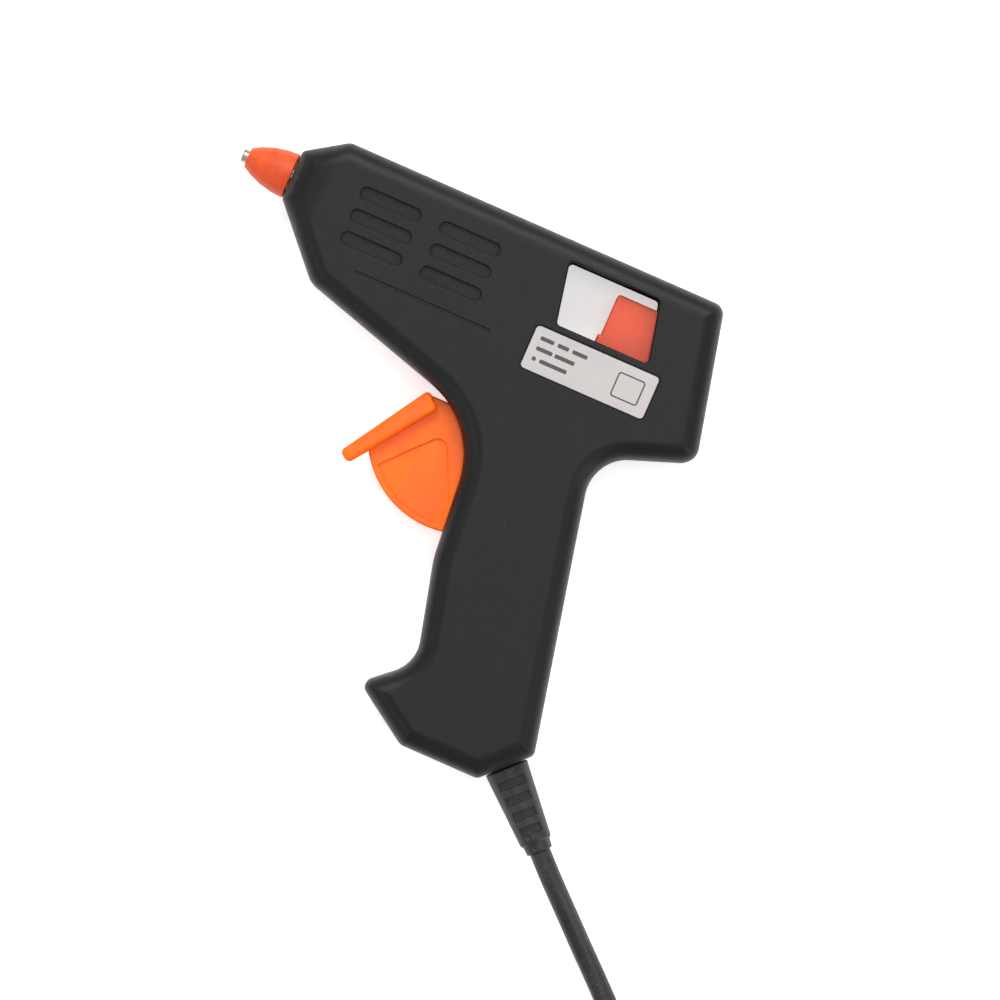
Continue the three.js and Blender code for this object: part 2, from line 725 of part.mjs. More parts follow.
function clampBar() {
  const [reach, half, r] = [CLAMP.half + 2.4, 2.8, 1.2];
  const ends = [[-half, -reach], [half, -reach], [half, reach], [-half, reach]];
  const corners = ends.map(([along, across]) => {
    const { x, y } = alongExit(along - CLAMP.back, across);
    return [x, y, r];
  });
  const holes = CLAMP_POSTS.map(({ x, y }) => rod(x, y, CLAMP.pilot, 1, THICK, 12));
  return cut(prism(rounded(corners), ...CLAMP.bar), ...holes);
}
addPiece('cord_clamp', clampBar(), BLACK_ABS);
CLAMP_POSTS.forEach(({ x, y }, i) => {
  addPiece(`clamp_screw_${i + 1}`, screw(x, y, CLAMP_SCREW), STEEL);
});

// The leads pass the trigger's arm on the right half's side of the handle.
const LEAD_R = 0.8;
const leadRoutes = {
  lead_live: [
    [28.2, -51.6, 12.9], [27, -47, 12], [27, -38, 6.5], [28, -20, 4.2], [26, 0, 4],
    [20, 13, 3.9], [10, 20, 3.9], [0, 26.2, 4.6], [-5.5, 31.6, 8], [-8.4, 32.7, 11.4],
  ],
  lead_neutral: [
    [27.9, -52.4, 10.9], [25, -47.6, 9], [23.8, -38, 4.9], [25, -20, 4], [22.6, 0, 4],
    [16.5, 12, 3.9], [8, 17, 3.9], [-2, 22, 4.6], [-6.2, 26.6, 8.6], [-8.4, 29.4, 11.4],
  ],
};
for (const [name, route] of Object.entries(leadRoutes)) {
  addPiece(name, sweep(route, LEAD_R, 6, 36), name === 'lead_live' ? CORD_PVC : WHITE_PVC);
}

// ---------------------------------------------------------------- free cord and plug

const cordOut = [
  [56.5, -79.8, 12], [60.2, -83.4, 11.6], [64.5, -87.4, 9.9], [69.5, -92, 7.2],
  [74.5, -96.6, 4.6], [79.5, -101.1, 3.1], [84.6, -105.8, CORD_Z], [90.2, -111, CORD_Z],
];
addPiece('cord', sweep(cordOut, CORD_R, 10, 10), CORD_PVC);

const coilProfile = [
  [0.05, COIL.inner],
  [0.05, COIL.outer],
  [COIL.h, COIL.outer],
  [COIL.h, COIL.inner],
  [0.05, COIL.inner],
];
addPiece('cord_coil', upright(coilProfile, COIL.x, COIL.y, 36), CORD_PVC);

const cordIn = [
  [57.4, -180.4, PLUG.z],
  [53, -179.8, PLUG.z],
  [PLUG.x + GAP, PLUG.y, PLUG.z],
];
addPiece('cord_tail', sweep(cordIn, CORD_R, 10, 2), CORD_PVC);

// Two-blade plug, drawn along +X from the point where its cord enters.
function atPlug(outline) {
  const turn = THREE.MathUtils.degToRad(PLUG.heading);
  const place = new THREE.Vector2(PLUG.x, PLUG.y);
  return outline.map((p) => p.clone().rotateAround(new THREE.Vector2(), turn).add(place));
}

function blade(side, from, grow) {
  const y = (side * BLADE.apart) / 2;
  const [half, tall] = [BLADE.thick / 2 + grow, BLADE.w / 2 + grow];
  const outline = box([from, PLUG.long + PLUG.nose + BLADE.long], [y - half, y + half]);
  return prism(atPlug(outline), PLUG.z - tall, PLUG.z + tall);
}

// A prism across both blades, from an outline of distance along the plug and height.
function sideways(outline) {
  const geometry = new THREE.ExtrudeGeometry(new THREE.Shape(outline), {
    depth: PLUG.w,
    bevelEnabled: false,
  });
  geometry.rotateX(Math.PI / 2);
  geometry.translate(0, PLUG.w / 2, 0);
  geometry.rotateZ(THREE.MathUtils.degToRad(PLUG.heading));
  geometry.translate(PLUG.x, PLUG.y, 0);
  return toSolid(geometry);
}

function plugBody() {
  const half = PLUG.w / 2;
  const [from, to] = [PLUG.nose - 4, PLUG.nose + PLUG.long];
  const corners = [
    [from, -5, 2],
    [from + 8, -half, 6],
    [to, -half, 2],
    [to, half, 2],
    [from + 8, half, 6],
    [from, 5, 2],
  ];
  const tall = PLUG.thick / 2;
  const levels = [[1.6, -tall], [0, -tall + 2], [0, tall - 2], [1.6, tall]];
  const body = loft(
    levels.map(([inset, z]) => ({ outline: atPlug(rounded(corners, inset)), z: PLUG.z + z })),
  );
  const turn = THREE.MathUtils.degToRad(PLUG.heading);
  const nose = [[0, 0], [0, 3.3], [PLUG.nose, 5], [PLUG.nose, 0]];
  const relief = turned(nose, PLUG.x, PLUG.y, Math.cos(turn), Math.sin(turn), 14, PLUG.z);
  const pockets = [-1, 1].map((side) => blade(side, to - BLADE.in - GAP, GAP));
  return cut(body.add(relief), ...pockets);
}
addPiece('plug_body', plugBody(), CORD_PVC);
[-1, 1].forEach((side, i) => {
  const hole = circle(PLUG.nose + PLUG.long + BLADE.long - 3.4, PLUG.z, BLADE.hole, 10);
  const solid = blade(side, PLUG.nose + PLUG.long - BLADE.in, 0);
  addPiece(`plug_blade_${i + 1}`, cut(solid, sideways(hole)), BRASS);
});

gun.position.set(-ORIGIN.x, -ORIGIN.y, 0);

export default gun;
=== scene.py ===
"""Small hot-melt glue gun: its looks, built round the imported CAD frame.

Shapes are drawn in millimetres, in the axes of the CAD source, and move to the frame's
metres when they become a piece. h is a distance from the parting plane of the housing.
"""
import json
import math

import bmesh
import bpy
from mathutils import Matrix, Vector


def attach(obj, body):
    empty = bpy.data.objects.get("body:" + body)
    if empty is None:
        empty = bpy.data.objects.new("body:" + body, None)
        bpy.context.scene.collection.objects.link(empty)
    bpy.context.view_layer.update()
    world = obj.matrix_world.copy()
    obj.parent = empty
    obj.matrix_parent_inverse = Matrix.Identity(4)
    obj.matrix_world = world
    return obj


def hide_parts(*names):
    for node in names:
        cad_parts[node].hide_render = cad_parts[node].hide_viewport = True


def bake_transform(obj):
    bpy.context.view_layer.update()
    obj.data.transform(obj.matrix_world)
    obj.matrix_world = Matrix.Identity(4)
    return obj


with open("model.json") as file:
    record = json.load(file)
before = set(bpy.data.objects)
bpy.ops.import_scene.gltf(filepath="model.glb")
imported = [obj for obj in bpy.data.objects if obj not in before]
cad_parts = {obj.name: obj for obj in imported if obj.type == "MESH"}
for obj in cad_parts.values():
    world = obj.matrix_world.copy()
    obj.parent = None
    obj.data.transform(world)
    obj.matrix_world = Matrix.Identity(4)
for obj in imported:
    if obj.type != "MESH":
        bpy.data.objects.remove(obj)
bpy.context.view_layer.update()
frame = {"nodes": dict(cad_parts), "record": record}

# ---------------------------------------------------------------- driving dimensions

MM = 0.001
ORIGIN_X = 16.0  # the frame's origin, as drawn
THICK = 24.0
MID = THICK / 2  # the parting plane
WALL = 2.0
SEAM = 0.15  # half of the gap between the housing halves
GAP = 0.3
EDGE_R = 4.8  # rounded outer edge of each housing half
WEAR_BAND = (8.2, 9.2, 9.5, 9.9)  # where that edge is rubbed, off the parting plane
ARC_STEP = 6.0  # degrees between the points of an arc
LEAST_R = 0.05
WELD = 1e-5  # points closer than this are one point
SHARP = 32  # degrees from which an edge of a piece stays sharp
KEPT_SHARP = 38  # and of a piece kept from the frame
WELD_M = 1e-6  # metres within which its points are one

# Housing outline: x, y and radius of each corner, counter-clockwise from the top.
HOUSING = [
    (-50, 53.5, 3), (-59.5, 47.3, 1.5), (-59.5, 35.3, 1.5), (-45.5, 20, 5),
    (3.2, 5.8, 21), (6.2, -27, 20), (12.4, -51.1, 9), (2.1, -60.2, 2),
    (16.5, -69.7, 3), (36, -69.7, 2), (46, -59.5, 2), (30.6, 9.1, 10),
    (53.2, 17.5, 4), (44.6, 53.5, 3),
]
NOSE = {"x": -50.5, "tip": -59.5, "share": 0.14, "slices": 6}  # the taper of each side

BARREL_Y = 41.0
STICK_R = 4.2
STICK_HOLE_R = 4.9
NOZZLE_HOLE_R = 4.3
VENT = {"w": 15.0, "half": 1.5, "deep": 1.1, "x": (-43.2, -23.2), "y": (44.0, 38.4, 32.8)}
WINDOW = [(7.5, 48.8, 1), (10.6, 34, 1), (33.6, 34, 1), (30.2, 48.8, 1)]
LABEL = {"x": (6.6, 37.5), "y": (21.7, 32.2), "r": 1.0, "recess": 0.6, "top": 0.04}
SCREWS = [(-42, 25), (-9, 19.5), (46, 24.5), (15, -33.5), (14.5, -60)]
SCREW = {"head": 2.7, "shank": 1.3, "long": 1.7, "seat": 4.7, "tip": 19.2}
SEATS = [((-53.4, -51.8), (33, 49), 4.9), ((-15.4, -13.9), (34.6, 51.8), 7.3)]
RAIL = {"x": (13, 42), "y": (30.4, 32.9), "h": 6}

PIVOT = (3.0, 3.0)
PIVOT_HOLE_R = 1.55
SLOT = {"x": (-11, 9), "y": (-22.4, 8.9), "half": 4.0}
PLATE = [(-23.7, -12.9, 1.2), (-21, -14.9, 1.2), (-6.7, 5, 1.2), (-10.4, 8.4, 1.2)]
WEB_ARC = {"x": 1.5, "y": 1.5, "r": 22.5, "from": 210, "to": 289}
PANEL = {"rim": 1.6, "deep": 0.7, "from": 221, "to": 277}  # the sunk panel of the web
WEB_W = 7.0
FORK_W = 10.4
DRIVE = (17.5, 27.5)
DRIVE_HOLE_R = 1.5
JAW = {"x": 30.0, "y": 34.6, "w": 5.0, "hole": 1.4}
CARRIAGE = {"x": (20.9, 38), "y": (33.2, 46.3), "step": 0.7, "step_y": 36, "w": 15}
LUG = (15.04, 9.82)
SPRING_POST = {"x": 26.6, "y": 5.8, "r": 1.6, "top": 14.7}

EXIT = (41.0, -64.6)
EXIT_DIR = (0.714, -0.7)
RELIEF_LONG = 21.4
SLOTS = {"count": 4, "first": 3.0, "pitch": 3.9, "wide": 2.1, "core": 2.3, "half": 3.3}
CLAMP = {"back": 12.0, "half": 6.6, "post": 2.6, "low": 14.4}

CORD_R = 2.5
CORD_Z = CORD_R + 0.05  # the cord's centre where it lies down
CORD_OUT = [
    (56.3, -79.6, 12), (60.2, -83.4, 11.6), (64.5, -87.4, 9.9), (69.5, -92, 7.2),
    (74.5, -96.6, 4.6), (79.5, -101.1, 3.1), (84.6, -105.8, CORD_Z), (90.2, -111, CORD_Z),
]
CORD_IN = [(66, -181.5, 7.6), (57.4, -180.4, 7.6), (44.8, -178.6, 7.6)]
COIL = {"x": 81.8, "y": -149.4, "r": 34.0, "start": 47.0, "turns": 6 + 145 / 360}
COIL_RISE = 5.05  # from the first layer of turns to the second
TURN_POINTS = 30  # points in each turn of the coil
TIE = {"at": 140, "r": 26.0, "reach": 11.2, "low": 0.35, "high": 10.6, "thick": 0.6, "half": 3.2}
PLUG = {"x": 46.0, "y": -178.8, "z": 7.6, "heading": 172.0}
PLUG_BODY = {"w": 23.0, "thick": 15.0, "long": 27.0, "nose": 12.0}
PLUG_FACE = PLUG_BODY["nose"] + PLUG_BODY["long"]
BLADE = {"long": 16.5, "in": 3.0, "w": 6.35, "thick": 1.5, "apart": 12.7, "hole": 1.5, "tip": 3.4}

# The view: where its centre is on the gun, how wide it is and how the gun is turned.
VIEW_CENTRE = (14.9, -8.45)
VIEW_WIDTH = 232.6
VIEW_TURN = 23.7
VIEW_FAR = 2000.0
SENSOR = 36.0


TO_FRAME = Matrix.Scale(MM, 4) @ Matrix.Translation((-ORIGIN_X, 0, 0))


def place(x, y, z):
    """A drawn point in the frame's metres."""
    return Vector(((x - ORIGIN_X) * MM, y * MM, z * MM))


def linked(name, data):
    """A new object in the scene."""
    made = bpy.data.objects.new(name, data)
    bpy.context.scene.collection.objects.link(made)
    return made


# ---------------------------------------------------------------- camera

camera = linked("camera", bpy.data.cameras.new("camera"))
camera.data.sensor_width = SENSOR
camera.data.lens = SENSOR * VIEW_FAR / VIEW_WIDTH
camera.data.clip_end = 10
camera.location = place(*VIEW_CENTRE, MID + VIEW_FAR)
camera.rotation_euler = (0, 0, math.radians(VIEW_TURN))
bpy.context.scene.camera = camera

# ---------------------------------------------------------------- materials


class Nodes:
    """A material's node tree, written as short calls."""

    def __init__(self, name, **shader):
        self.material = bpy.data.materials.new(name)
        self.material.use_nodes = True
        self.tree = self.material.node_tree
        self.bsdf = self.tree.nodes["Principled BSDF"]
        for socket, value in shader.items():
            self.bsdf.inputs[socket.replace("_", " ")].default_value = value
        self.where = self.tree.nodes.new("ShaderNodeTexCoord").outputs["Object"]

    def add(self, kind, output=0, **inputs):
        node = self.tree.nodes.new(kind)
        for key, value in inputs.items():
            if hasattr(node, key):
                setattr(node, key, value)
                continue
            socket = node.inputs[int(key[1:])] if key[1:].isdigit() else node.inputs[key]
            self.feed(socket, value)
        return node.outputs[output]

    def feed(self, socket, value):
        if isinstance(value, bpy.types.NodeSocket):
            self.tree.links.new(value, socket)
        else:
            socket.default_value = value

    def noise(self, size, detail=3.0, rough=0.5, where=None):
        """A noise whose blotches are about size millimetres across."""
        return self.add("ShaderNodeTexNoise", Vector=where or self.where,
                        Scale=1 / (size * MM), Detail=detail, Roughness=rough)

    def stretched(self, x, y, z):
        return self.add("ShaderNodeVectorMath", operation="MULTIPLY", i0=self.where, i1=(x, y, z))

    def math(self, operation, a, b=0.0):
        return self.add("ShaderNodeMath", operation=operation, i0=a, i1=b)

    def span(self, value, low, high, to_low=0.0, to_high=1.0):
        return self.add("ShaderNodeMapRange", Value=value, i1=low, i2=high, i3=to_low, i4=to_high)

    def between(self, share, a, b):
        return self.add("ShaderNodeMix", 2, data_type="RGBA", i0=share, i6=a, i7=b)

    def colour(self, value):
        self.feed(self.bsdf.inputs["Base Color"], value)

    def roughness(self, value):
        self.feed(self.bsdf.inputs["Roughness"], value)

    def bump(self, height, depth, strength=1.0):
        """Height from 0 to 1, raised by depth millimetres."""
        normal = self.bsdf.inputs["Normal"]
        under = normal.links[0].from_socket if normal.links else None
        made = self.add("ShaderNodeBump", Strength=strength, Distance=depth * MM, Height=height)
        if under:
            self.tree.links.new(under, made.node.inputs["Normal"])
        self.tree.links.new(made, normal)


def rgb(*values):
    """A linear colour from 0-255 screen values."""
    def linear(v):
        v /= 255
        return v / 12.92 if v <= 0.04045 else ((v + 0.055) / 1.055) ** 2.4
    return (*[linear(v) for v in values], 1.0)


def moulded(name, dark, light, rough, grain=0.35, depth=0.02, wear=0.2, **shader):
    """Moulded plastic: a fine spark-eroded grain, faint flow clouds, scratches and rubbed edges."""
    n = Nodes(name, **shader)
    clouds = n.noise(9, 4, 0.6)
    colour = n.between(n.span(clouds, 0.35, 0.65), dark, light)
    grit = n.noise(grain, 2, 0.6)
    sheen = n.span(clouds, 0.3, 0.7, rough - 0.02, rough + 0.03)
    sheen = n.math("ADD", sheen, n.span(grit, 0.3, 0.7, -0.06, 0.06))
    height = n.add("ShaderNodeSeparateXYZ", 2, Vector=n.where)
    off = n.math("ABSOLUTE", n.math("SUBTRACT", height, MID * MM))
    foot, low, high, top = (h * MM for h in WEAR_BAND)
    edge = n.math("MULTIPLY", n.span(off, foot, low), n.span(off, top, high))
    rubbed = n.math("MULTIPLY", edge, n.span(n.noise(2.4, 5, 0.65), 0.48, 0.66))
    scratches = n.span(n.noise(1.1, 6, 0.75, n.stretched(1.0, 0.12, 1.0)), 0.63, 0.68)
    worn = n.math("MAXIMUM", rubbed, n.math("MULTIPLY", scratches, 0.35))
    colour = n.between(n.math("MULTIPLY", worn, wear), colour, rgb(60, 60, 64))
    sheen = n.math("SUBTRACT", sheen, n.math("MULTIPLY", worn, 0.12))
    n.colour(colour)
    n.roughness(sheen)
    n.bump(grit, depth)
    n.bump(clouds, depth, 0.3)
    return n.material


def bright_plastic(name, dark, light, rough, depth=0.01, **shader):
    """Smooth coloured plastic with flow marks, fine scratches and dust in the grain."""
    n = Nodes(name, **shader)
    flow = n.noise(6, 4, 0.55, n.stretched(1.0, 0.35, 1.0))
    colour = n.between(n.span(flow, 0.3, 0.7), dark, light)
    specks = n.span(n.noise(0.5, 3, 0.7), 0.66, 0.74)
    n.colour(n.between(n.math("MULTIPLY", specks, 0.25), colour, dark))
    lines = n.noise(0.9, 6, 0.7, n.stretched(0.2, 1.0, 1.0))
    n.roughness(n.math("ADD", n.span(flow, 0.3, 0.7, rough - 0.05, rough + 0.05),
                       n.span(lines, 0.55, 0.7, 0, 0.1)))
    n.bump(lines, depth)
    n.bump(n.noise(3.5, 2), depth * 3)
    return n.material


def metal(name, colour, dull, rough, brush=(1.0, 0.08, 1.0), tarnish=0.25, **shader):
    """Bare or plated metal with draw marks along one way and cloudy tarnish."""
    n = Nodes(name, Metallic=1.0, **shader)
    marks = n.noise(0.25, 4, 0.6, n.stretched(*brush))
    clouds = n.noise(3.2, 5, 0.62)
    stain = n.math("MULTIPLY", n.span(clouds, 0.46, 0.68), tarnish)
    n.colour(n.between(stain, n.between(n.span(marks, 0.3, 0.7), colour, dull), dull))
    n.roughness(n.math("ADD", n.span(marks, 0.3, 0.7, rough - 0.06, rough + 0.08),
                       n.math("MULTIPLY", stain, 0.3)))
    n.bump(marks, 0.012)
    return n.material


def rubbery(name, dark, light, rough, depth=0.02, **shader):
    """Soft PVC or silicone: a matt skin with dust, and slow ripples from its mould."""
    n = Nodes(name, **shader)
    ripples = n.noise(4, 3, 0.5)
    dust = n.span(n.noise(0.9, 6, 0.75), 0.58, 0.72)
    colour = n.between(n.span(ripples, 0.35, 0.65), dark, light)
    n.colour(n.between(n.math("MULTIPLY", dust, 0.18), colour, rgb(200, 192, 184)))
    n.roughness(n.math("ADD", n.span(ripples, 0.3, 0.7, rough - 0.04, rough + 0.06),
                       n.math("MULTIPLY", dust, 0.1)))
    n.bump(n.noise(0.3, 2), depth)
    n.bump(ripples, depth * 3, 0.6)
    return n.material


def cast(name):
    """Die-cast aluminium: grainy, dark in the pits, with heat tint."""
    n = Nodes(name, Metallic=0.9)
    pits = n.noise(0.4, 5, 0.7)
    tint = n.span(n.noise(8, 3), 0.5, 0.7)
    colour = n.between(n.span(pits, 0.35, 0.65), rgb(120, 120, 122), rgb(186, 187, 190))
    n.colour(n.between(n.math("MULTIPLY", tint, 0.4), colour, rgb(150, 122, 84)))
    n.roughness(n.span(pits, 0.3, 0.7, 0.62, 0.42))
    n.bump(pits, 0.06)
    return n.material


def film_label(name):
    """Satin silver film with a fine horizontal brush and a few handling creases."""
    n = Nodes(name, Metallic=0.35, Coat_Weight=0.3, Coat_Roughness=0.25)
    brush = n.noise(0.3, 3, 0.6, n.stretched(0.06, 1.0, 1.0))
    clouds = n.noise(7, 3)
    colour = n.between(n.span(brush, 0.3, 0.7), rgb(152, 146, 146), rgb(172, 166, 165))
    n.colour(n.between(n.span(clouds, 0.4, 0.7, 0, 0.3), colour, rgb(144, 139, 142)))
    n.roughness(n.span(brush, 0.3, 0.7, 0.34, 0.46))
    n.bump(brush, 0.006)
    n.bump(clouds, 0.04, 0.4)
    return n.material


def ink(name):
    """Printed ink with thin spots where the screen missed."""
    n = Nodes(name)
    thin = n.span(n.noise(0.25, 4, 0.7), 0.58, 0.7)
    n.colour(n.between(n.math("MULTIPLY", thin, 0.5), rgb(64, 60, 62), rgb(140, 134, 134)))
    n.roughness(n.span(thin, 0, 1, 0.5, 0.4))
    n.bump(thin, 0.004)
    return n.material


def backdrop(name):
    """A light table's top: very faintly mottled, and lit a little from below."""
    n = Nodes(name)
    clouds = n.noise(60, 3)
    n.colour(n.between(n.span(clouds, 0.3, 0.7), rgb(243, 243, 242), rgb(248, 248, 248)))
    n.roughness(n.span(clouds, 0.3, 0.7, 0.72, 0.8))
    n.feed(n.bsdf.inputs["Emission Color"], rgb(255, 255, 255))
    n.feed(n.bsdf.inputs["Emission Strength"], 0.55)
    return n.material


FINISHES = {
    "housing_black": moulded("housing_black", rgb(12, 12, 14), rgb(16, 16, 18), 0.44,
                             Specular_IOR_Level=0.25),
    "label_silver": film_label("label_silver"),
    "trigger_orange": bright_plastic("trigger_orange", rgb(246, 92, 4), rgb(252, 110, 8), 0.36,
                                     Specular_IOR_Level=0.25,
                                     Subsurface_Weight=0.12, Subsurface_Scale=0.002),
    "carriage_orange": bright_plastic("carriage_orange", rgb(196, 62, 30), rgb(212, 76, 40), 0.44,
                                      Subsurface_Weight=0.08, Subsurface_Scale=0.002),
    "silicone_orange": rubbery("silicone_orange", rgb(202, 64, 12), rgb(214, 80, 20), 0.5,
                               Specular_IOR_Level=0.35,
                               Subsurface_Weight=0.15, Subsurface_Scale=0.002),
    "screw_steel": metal("screw_steel", rgb(202, 204, 208), rgb(150, 150, 152), 0.3),
    "spring_steel": metal("spring_steel", rgb(190, 192, 196), rgb(128, 128, 130), 0.28),
    "nozzle_brass": metal("nozzle_brass", rgb(176, 174, 168), rgb(138, 132, 120), 0.3,
                          (1.0, 0.2, 0.2), 0.3),
    "contact_brass": metal("contact_brass", rgb(214, 182, 104), rgb(168, 132, 66), 0.28,
                           (0.1, 1.0, 1.0)),
    "chamber_cast": cast("chamber_cast"),
    "ptc_ceramic": rubbery("ptc_ceramic", rgb(66, 63, 60), rgb(82, 79, 76), 0.7),
    "heater_film": bright_plastic("heater_film", rgb(166, 96, 32), rgb(196, 124, 44), 0.3,
                                  Coat_Weight=0.4),
    "cord_black": rubbery("cord_black", rgb(24, 24, 26), rgb(33, 33, 36), 0.48),
    "lead_white": rubbery("lead_white", rgb(214, 210, 200), rgb(228, 225, 216), 0.5),
}
INK = ink("label_ink")
FLOOR = backdrop("floor")

# ---------------------------------------------------------------- shape helpers


def rounded(corners, inset=0.0, step=ARC_STEP):
    """A closed outline with an arc at each corner, moved inwards by inset."""
    at = [Vector(c[:2]) for c in corners]
    count = len(at)
    along = [(at[(i + 1) % count] - at[i]).normalized() for i in range(count)]
    points = []
    for i in range(count):
        before, after = along[i - 1], along[i]
        turn = math.atan2(before.x * after.y - before.y * after.x, before.dot(after))
        side = math.copysign(1, turn)
        radius = max(corners[i][2] - inset, LEAST_R) if side > 0 else corners[i][2] + inset
        inward = Vector((-before.y, before.x))
        corner = at[i] + inward * inset - before * inset * math.tan(turn / 2)
        start = corner - before * radius * math.tan(abs(turn) / 2)
        centre = start + inward * side * radius
        steps = max(2, round(math.degrees(abs(turn)) / step))
        for k in range(steps + 1):
            points.append(centre + (start - centre) @ turned_by(-turn * k / steps))
    return points


def turned_by(angle):
    return Matrix.Rotation(angle, 2)


def circle(x, y, r, sides=48):
    angles = [2 * math.pi * i / sides for i in range(sides)]
    return [Vector((x + r * math.cos(a), y + r * math.sin(a))) for a in angles]


def square(x, y):
    return [Vector(p) for p in ((x[0], y[0]), (x[1], y[0]), (x[1], y[1]), (x[0], y[1]))]


def solid(verts, faces):
    """A closed mesh object, with its faces turned outwards. Still in millimetres."""
    mesh = bpy.data.meshes.new("solid")
    mesh.from_pydata([tuple(v) for v in verts], [], faces)
    made = bmesh.new()
    made.from_mesh(mesh)
    bmesh.ops.remove_doubles(made, verts=made.verts, dist=WELD)
    bmesh.ops.dissolve_degenerate(made, edges=made.edges, dist=WELD)
    bmesh.ops.recalc_face_normals(made, faces=made.faces)
    made.to_mesh(mesh)
    made.free()
    return linked("solid", mesh)


def loft(levels):
    """A solid through matching outlines: [(outline, z)]."""
    count = len(levels[0][0])
    verts = [(p.x, p.y, z) for outline, z in levels for p in outline]
    faces = [list(range(count)), [(len(levels) - 1) * count + i for i in range(count)]]
    for row in range(len(levels) - 1):
        for i in range(count):
            a, b = row * count + i, row * count + (i + 1) % count
            faces.append([a, b, b + count, a + count])
    return solid(verts, faces)


def prism(outline, low, high):
    return loft([(outline, low), (outline, high)])


def mid_prism(outline, width):
    return prism(outline, MID - width / 2, MID + width / 2)


def quarter(steps):
    """Shares across and up a quarter round, from its foot to its top."""
    angles = [math.pi / 2 * k / steps for k in range(steps + 1)]
    return [(1 - math.cos(a), math.sin(a)) for a in angles]


def pillow_levels(low, high, edge, steps):
    """How far in and how high each outline of a plate lies, with both its edges rounded over."""
    foot = [(edge * (1 - rise), low + edge * side) for side, rise in quarter(steps)]
    head = [(edge * side, high - edge * (1 - rise)) for side, rise in quarter(steps)]
    return foot + head


def pillow(corners, low, high, edge, steps=4):
    """A plate with rounded corners and both of its edges rounded over."""
    levels = pillow_levels(low, high, edge, steps)
    return loft([(rounded(corners, inset), z) for inset, z in levels])


def mid_pillow(corners, width, edge, steps=4):
    return pillow(corners, MID - width / 2, MID + width / 2, edge, steps)


def basis(start, direction):
    """A matrix that takes +Z at the origin to a direction at a start."""
    turn = Vector(direction).to_track_quat("Z", "Y").to_matrix().to_4x4()
    return Matrix.Translation(start) @ turn


def turned(profile, start, direction, sides=48):
    """A solid turned about an axis: closed profile of (along, radius)."""
    rings = []
    for i in range(sides):
        angle = 2 * math.pi * i / sides
        rings += [(r * math.cos(angle), r * math.sin(angle), along) for along, r in profile]
    count = len(profile)
    faces = []
    for i in range(sides):
        nxt = (i + 1) % sides
        for k in range(count):
            after = (k + 1) % count
            if profile[k][1] < WELD and profile[after][1] < WELD:
                continue
            faces.append([i * count + k, nxt * count + k, nxt * count + after, i * count + after])
    matrix = basis(start, direction)
    return solid([matrix @ Vector(v) for v in rings], faces)


def soft_profile(corners, step=20):
    """A closed profile whose corners are rounded: (along, radius, corner radius)."""
    return [(p.x, max(p.y, 0.0)) for p in rounded(corners, 0, step)]


def barrel_rod(start, end, r):
    profile = [(0, 0), (0, r), (end - start, r), (end - start, 0)]
    return turned(profile, (start, BARREL_Y, MID), (1, 0, 0))


def combine(target, tools, operation):
    for tool in tools:
        step = target.modifiers.new("combine", "BOOLEAN")
        step.operation = operation
        step.solver = "MANIFOLD"
        step.object = tool
    graph = bpy.context.evaluated_depsgraph_get()
    mesh = bpy.data.meshes.new_from_object(target.evaluated_get(graph))
    target.modifiers.clear()
    target.data = mesh
    for tool in tools:
        bpy.data.objects.remove(tool)
    return target


def cut(target, *tools):
    return combine(target, tools, "DIFFERENCE")


def join(target, *tools):
    return combine(target, tools, "UNION")


def round_curve(name, points, r, bevel):
    """A round rod along the points, as a curve."""
    curve = bpy.data.curves.new(name, "CURVE")
    curve.dimensions = "3D"
    curve.bevel_depth = r
    curve.bevel_resolution = bevel
    curve.use_fill_caps = True
    spline = curve.splines.new("POLY")
    spline.points.add(len(points) - 1)
    for target, p in zip(spline.points, points):
        target.co = (*p, 1)
    spline.use_smooth = True
    return curve


def tube(points, r):
    """A round rod along a smooth line through the points, as a closed mesh."""
    curve = round_curve("tube", smooth(points, 2), r, 2)
    holder = linked("tube", curve)
    graph = bpy.context.evaluated_depsgraph_get()
    mesh = bpy.data.meshes.new_from_object(holder.evaluated_get(graph))
    bpy.data.objects.remove(holder)
    made = bmesh.new()
    made.from_mesh(mesh)
    bmesh.ops.remove_doubles(made, verts=made.verts, dist=WELD)
    made.to_mesh(mesh)
    made.free()
    return linked("solid", mesh)


def smooth(points, steps):
    """Points along a Catmull-Rom curve through the given ones."""
    given = [Vector(p) for p in points]
    ends = [2 * given[0] - given[1], *given, 2 * given[-1] - given[-2]]
    out = [given[0]]
    for a, b, c, d in zip(ends, ends[1:], ends[2:], ends[3:]):
        for k in range(1, steps + 1):
            t = k / steps
            out.append(0.5 * (2 * b + (c - a) * t + (2 * a - 5 * b + 4 * c - d) * t * t
                              + (3 * b - a - 3 * c + d) * t ** 3))
    return out


def piece(name, made, body, slot, replaces=(), finish=None, weighted=True):
    """Moves a drawn solid to the frame and makes it a piece on its body."""
    made.name = made.data.name = name
    made.data.transform(TO_FRAME)
    made.data.shade_smooth()
    made.data.set_sharp_from_angle(angle=math.radians(SHARP))
    made.data.materials.clear()
    made.data.materials.append(finish or FINISHES[slot])
    if weighted:
        normals = made.modifiers.new("normals", "WEIGHTED_NORMAL")
        normals.keep_sharp = True
    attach(made, body)
    if replaces:
        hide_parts(*replaces)
    return made


def soften(made, width):
    """Rounds a piece's sharp edges over by a width in millimetres."""
    softened = made.modifiers.new("edges", "BEVEL")
    softened.width = width * MM
    softened.segments = 2
    softened.limit_method = "ANGLE"
    softened.angle_limit = math.radians(50)


# ---------------------------------------------------------------- free cord


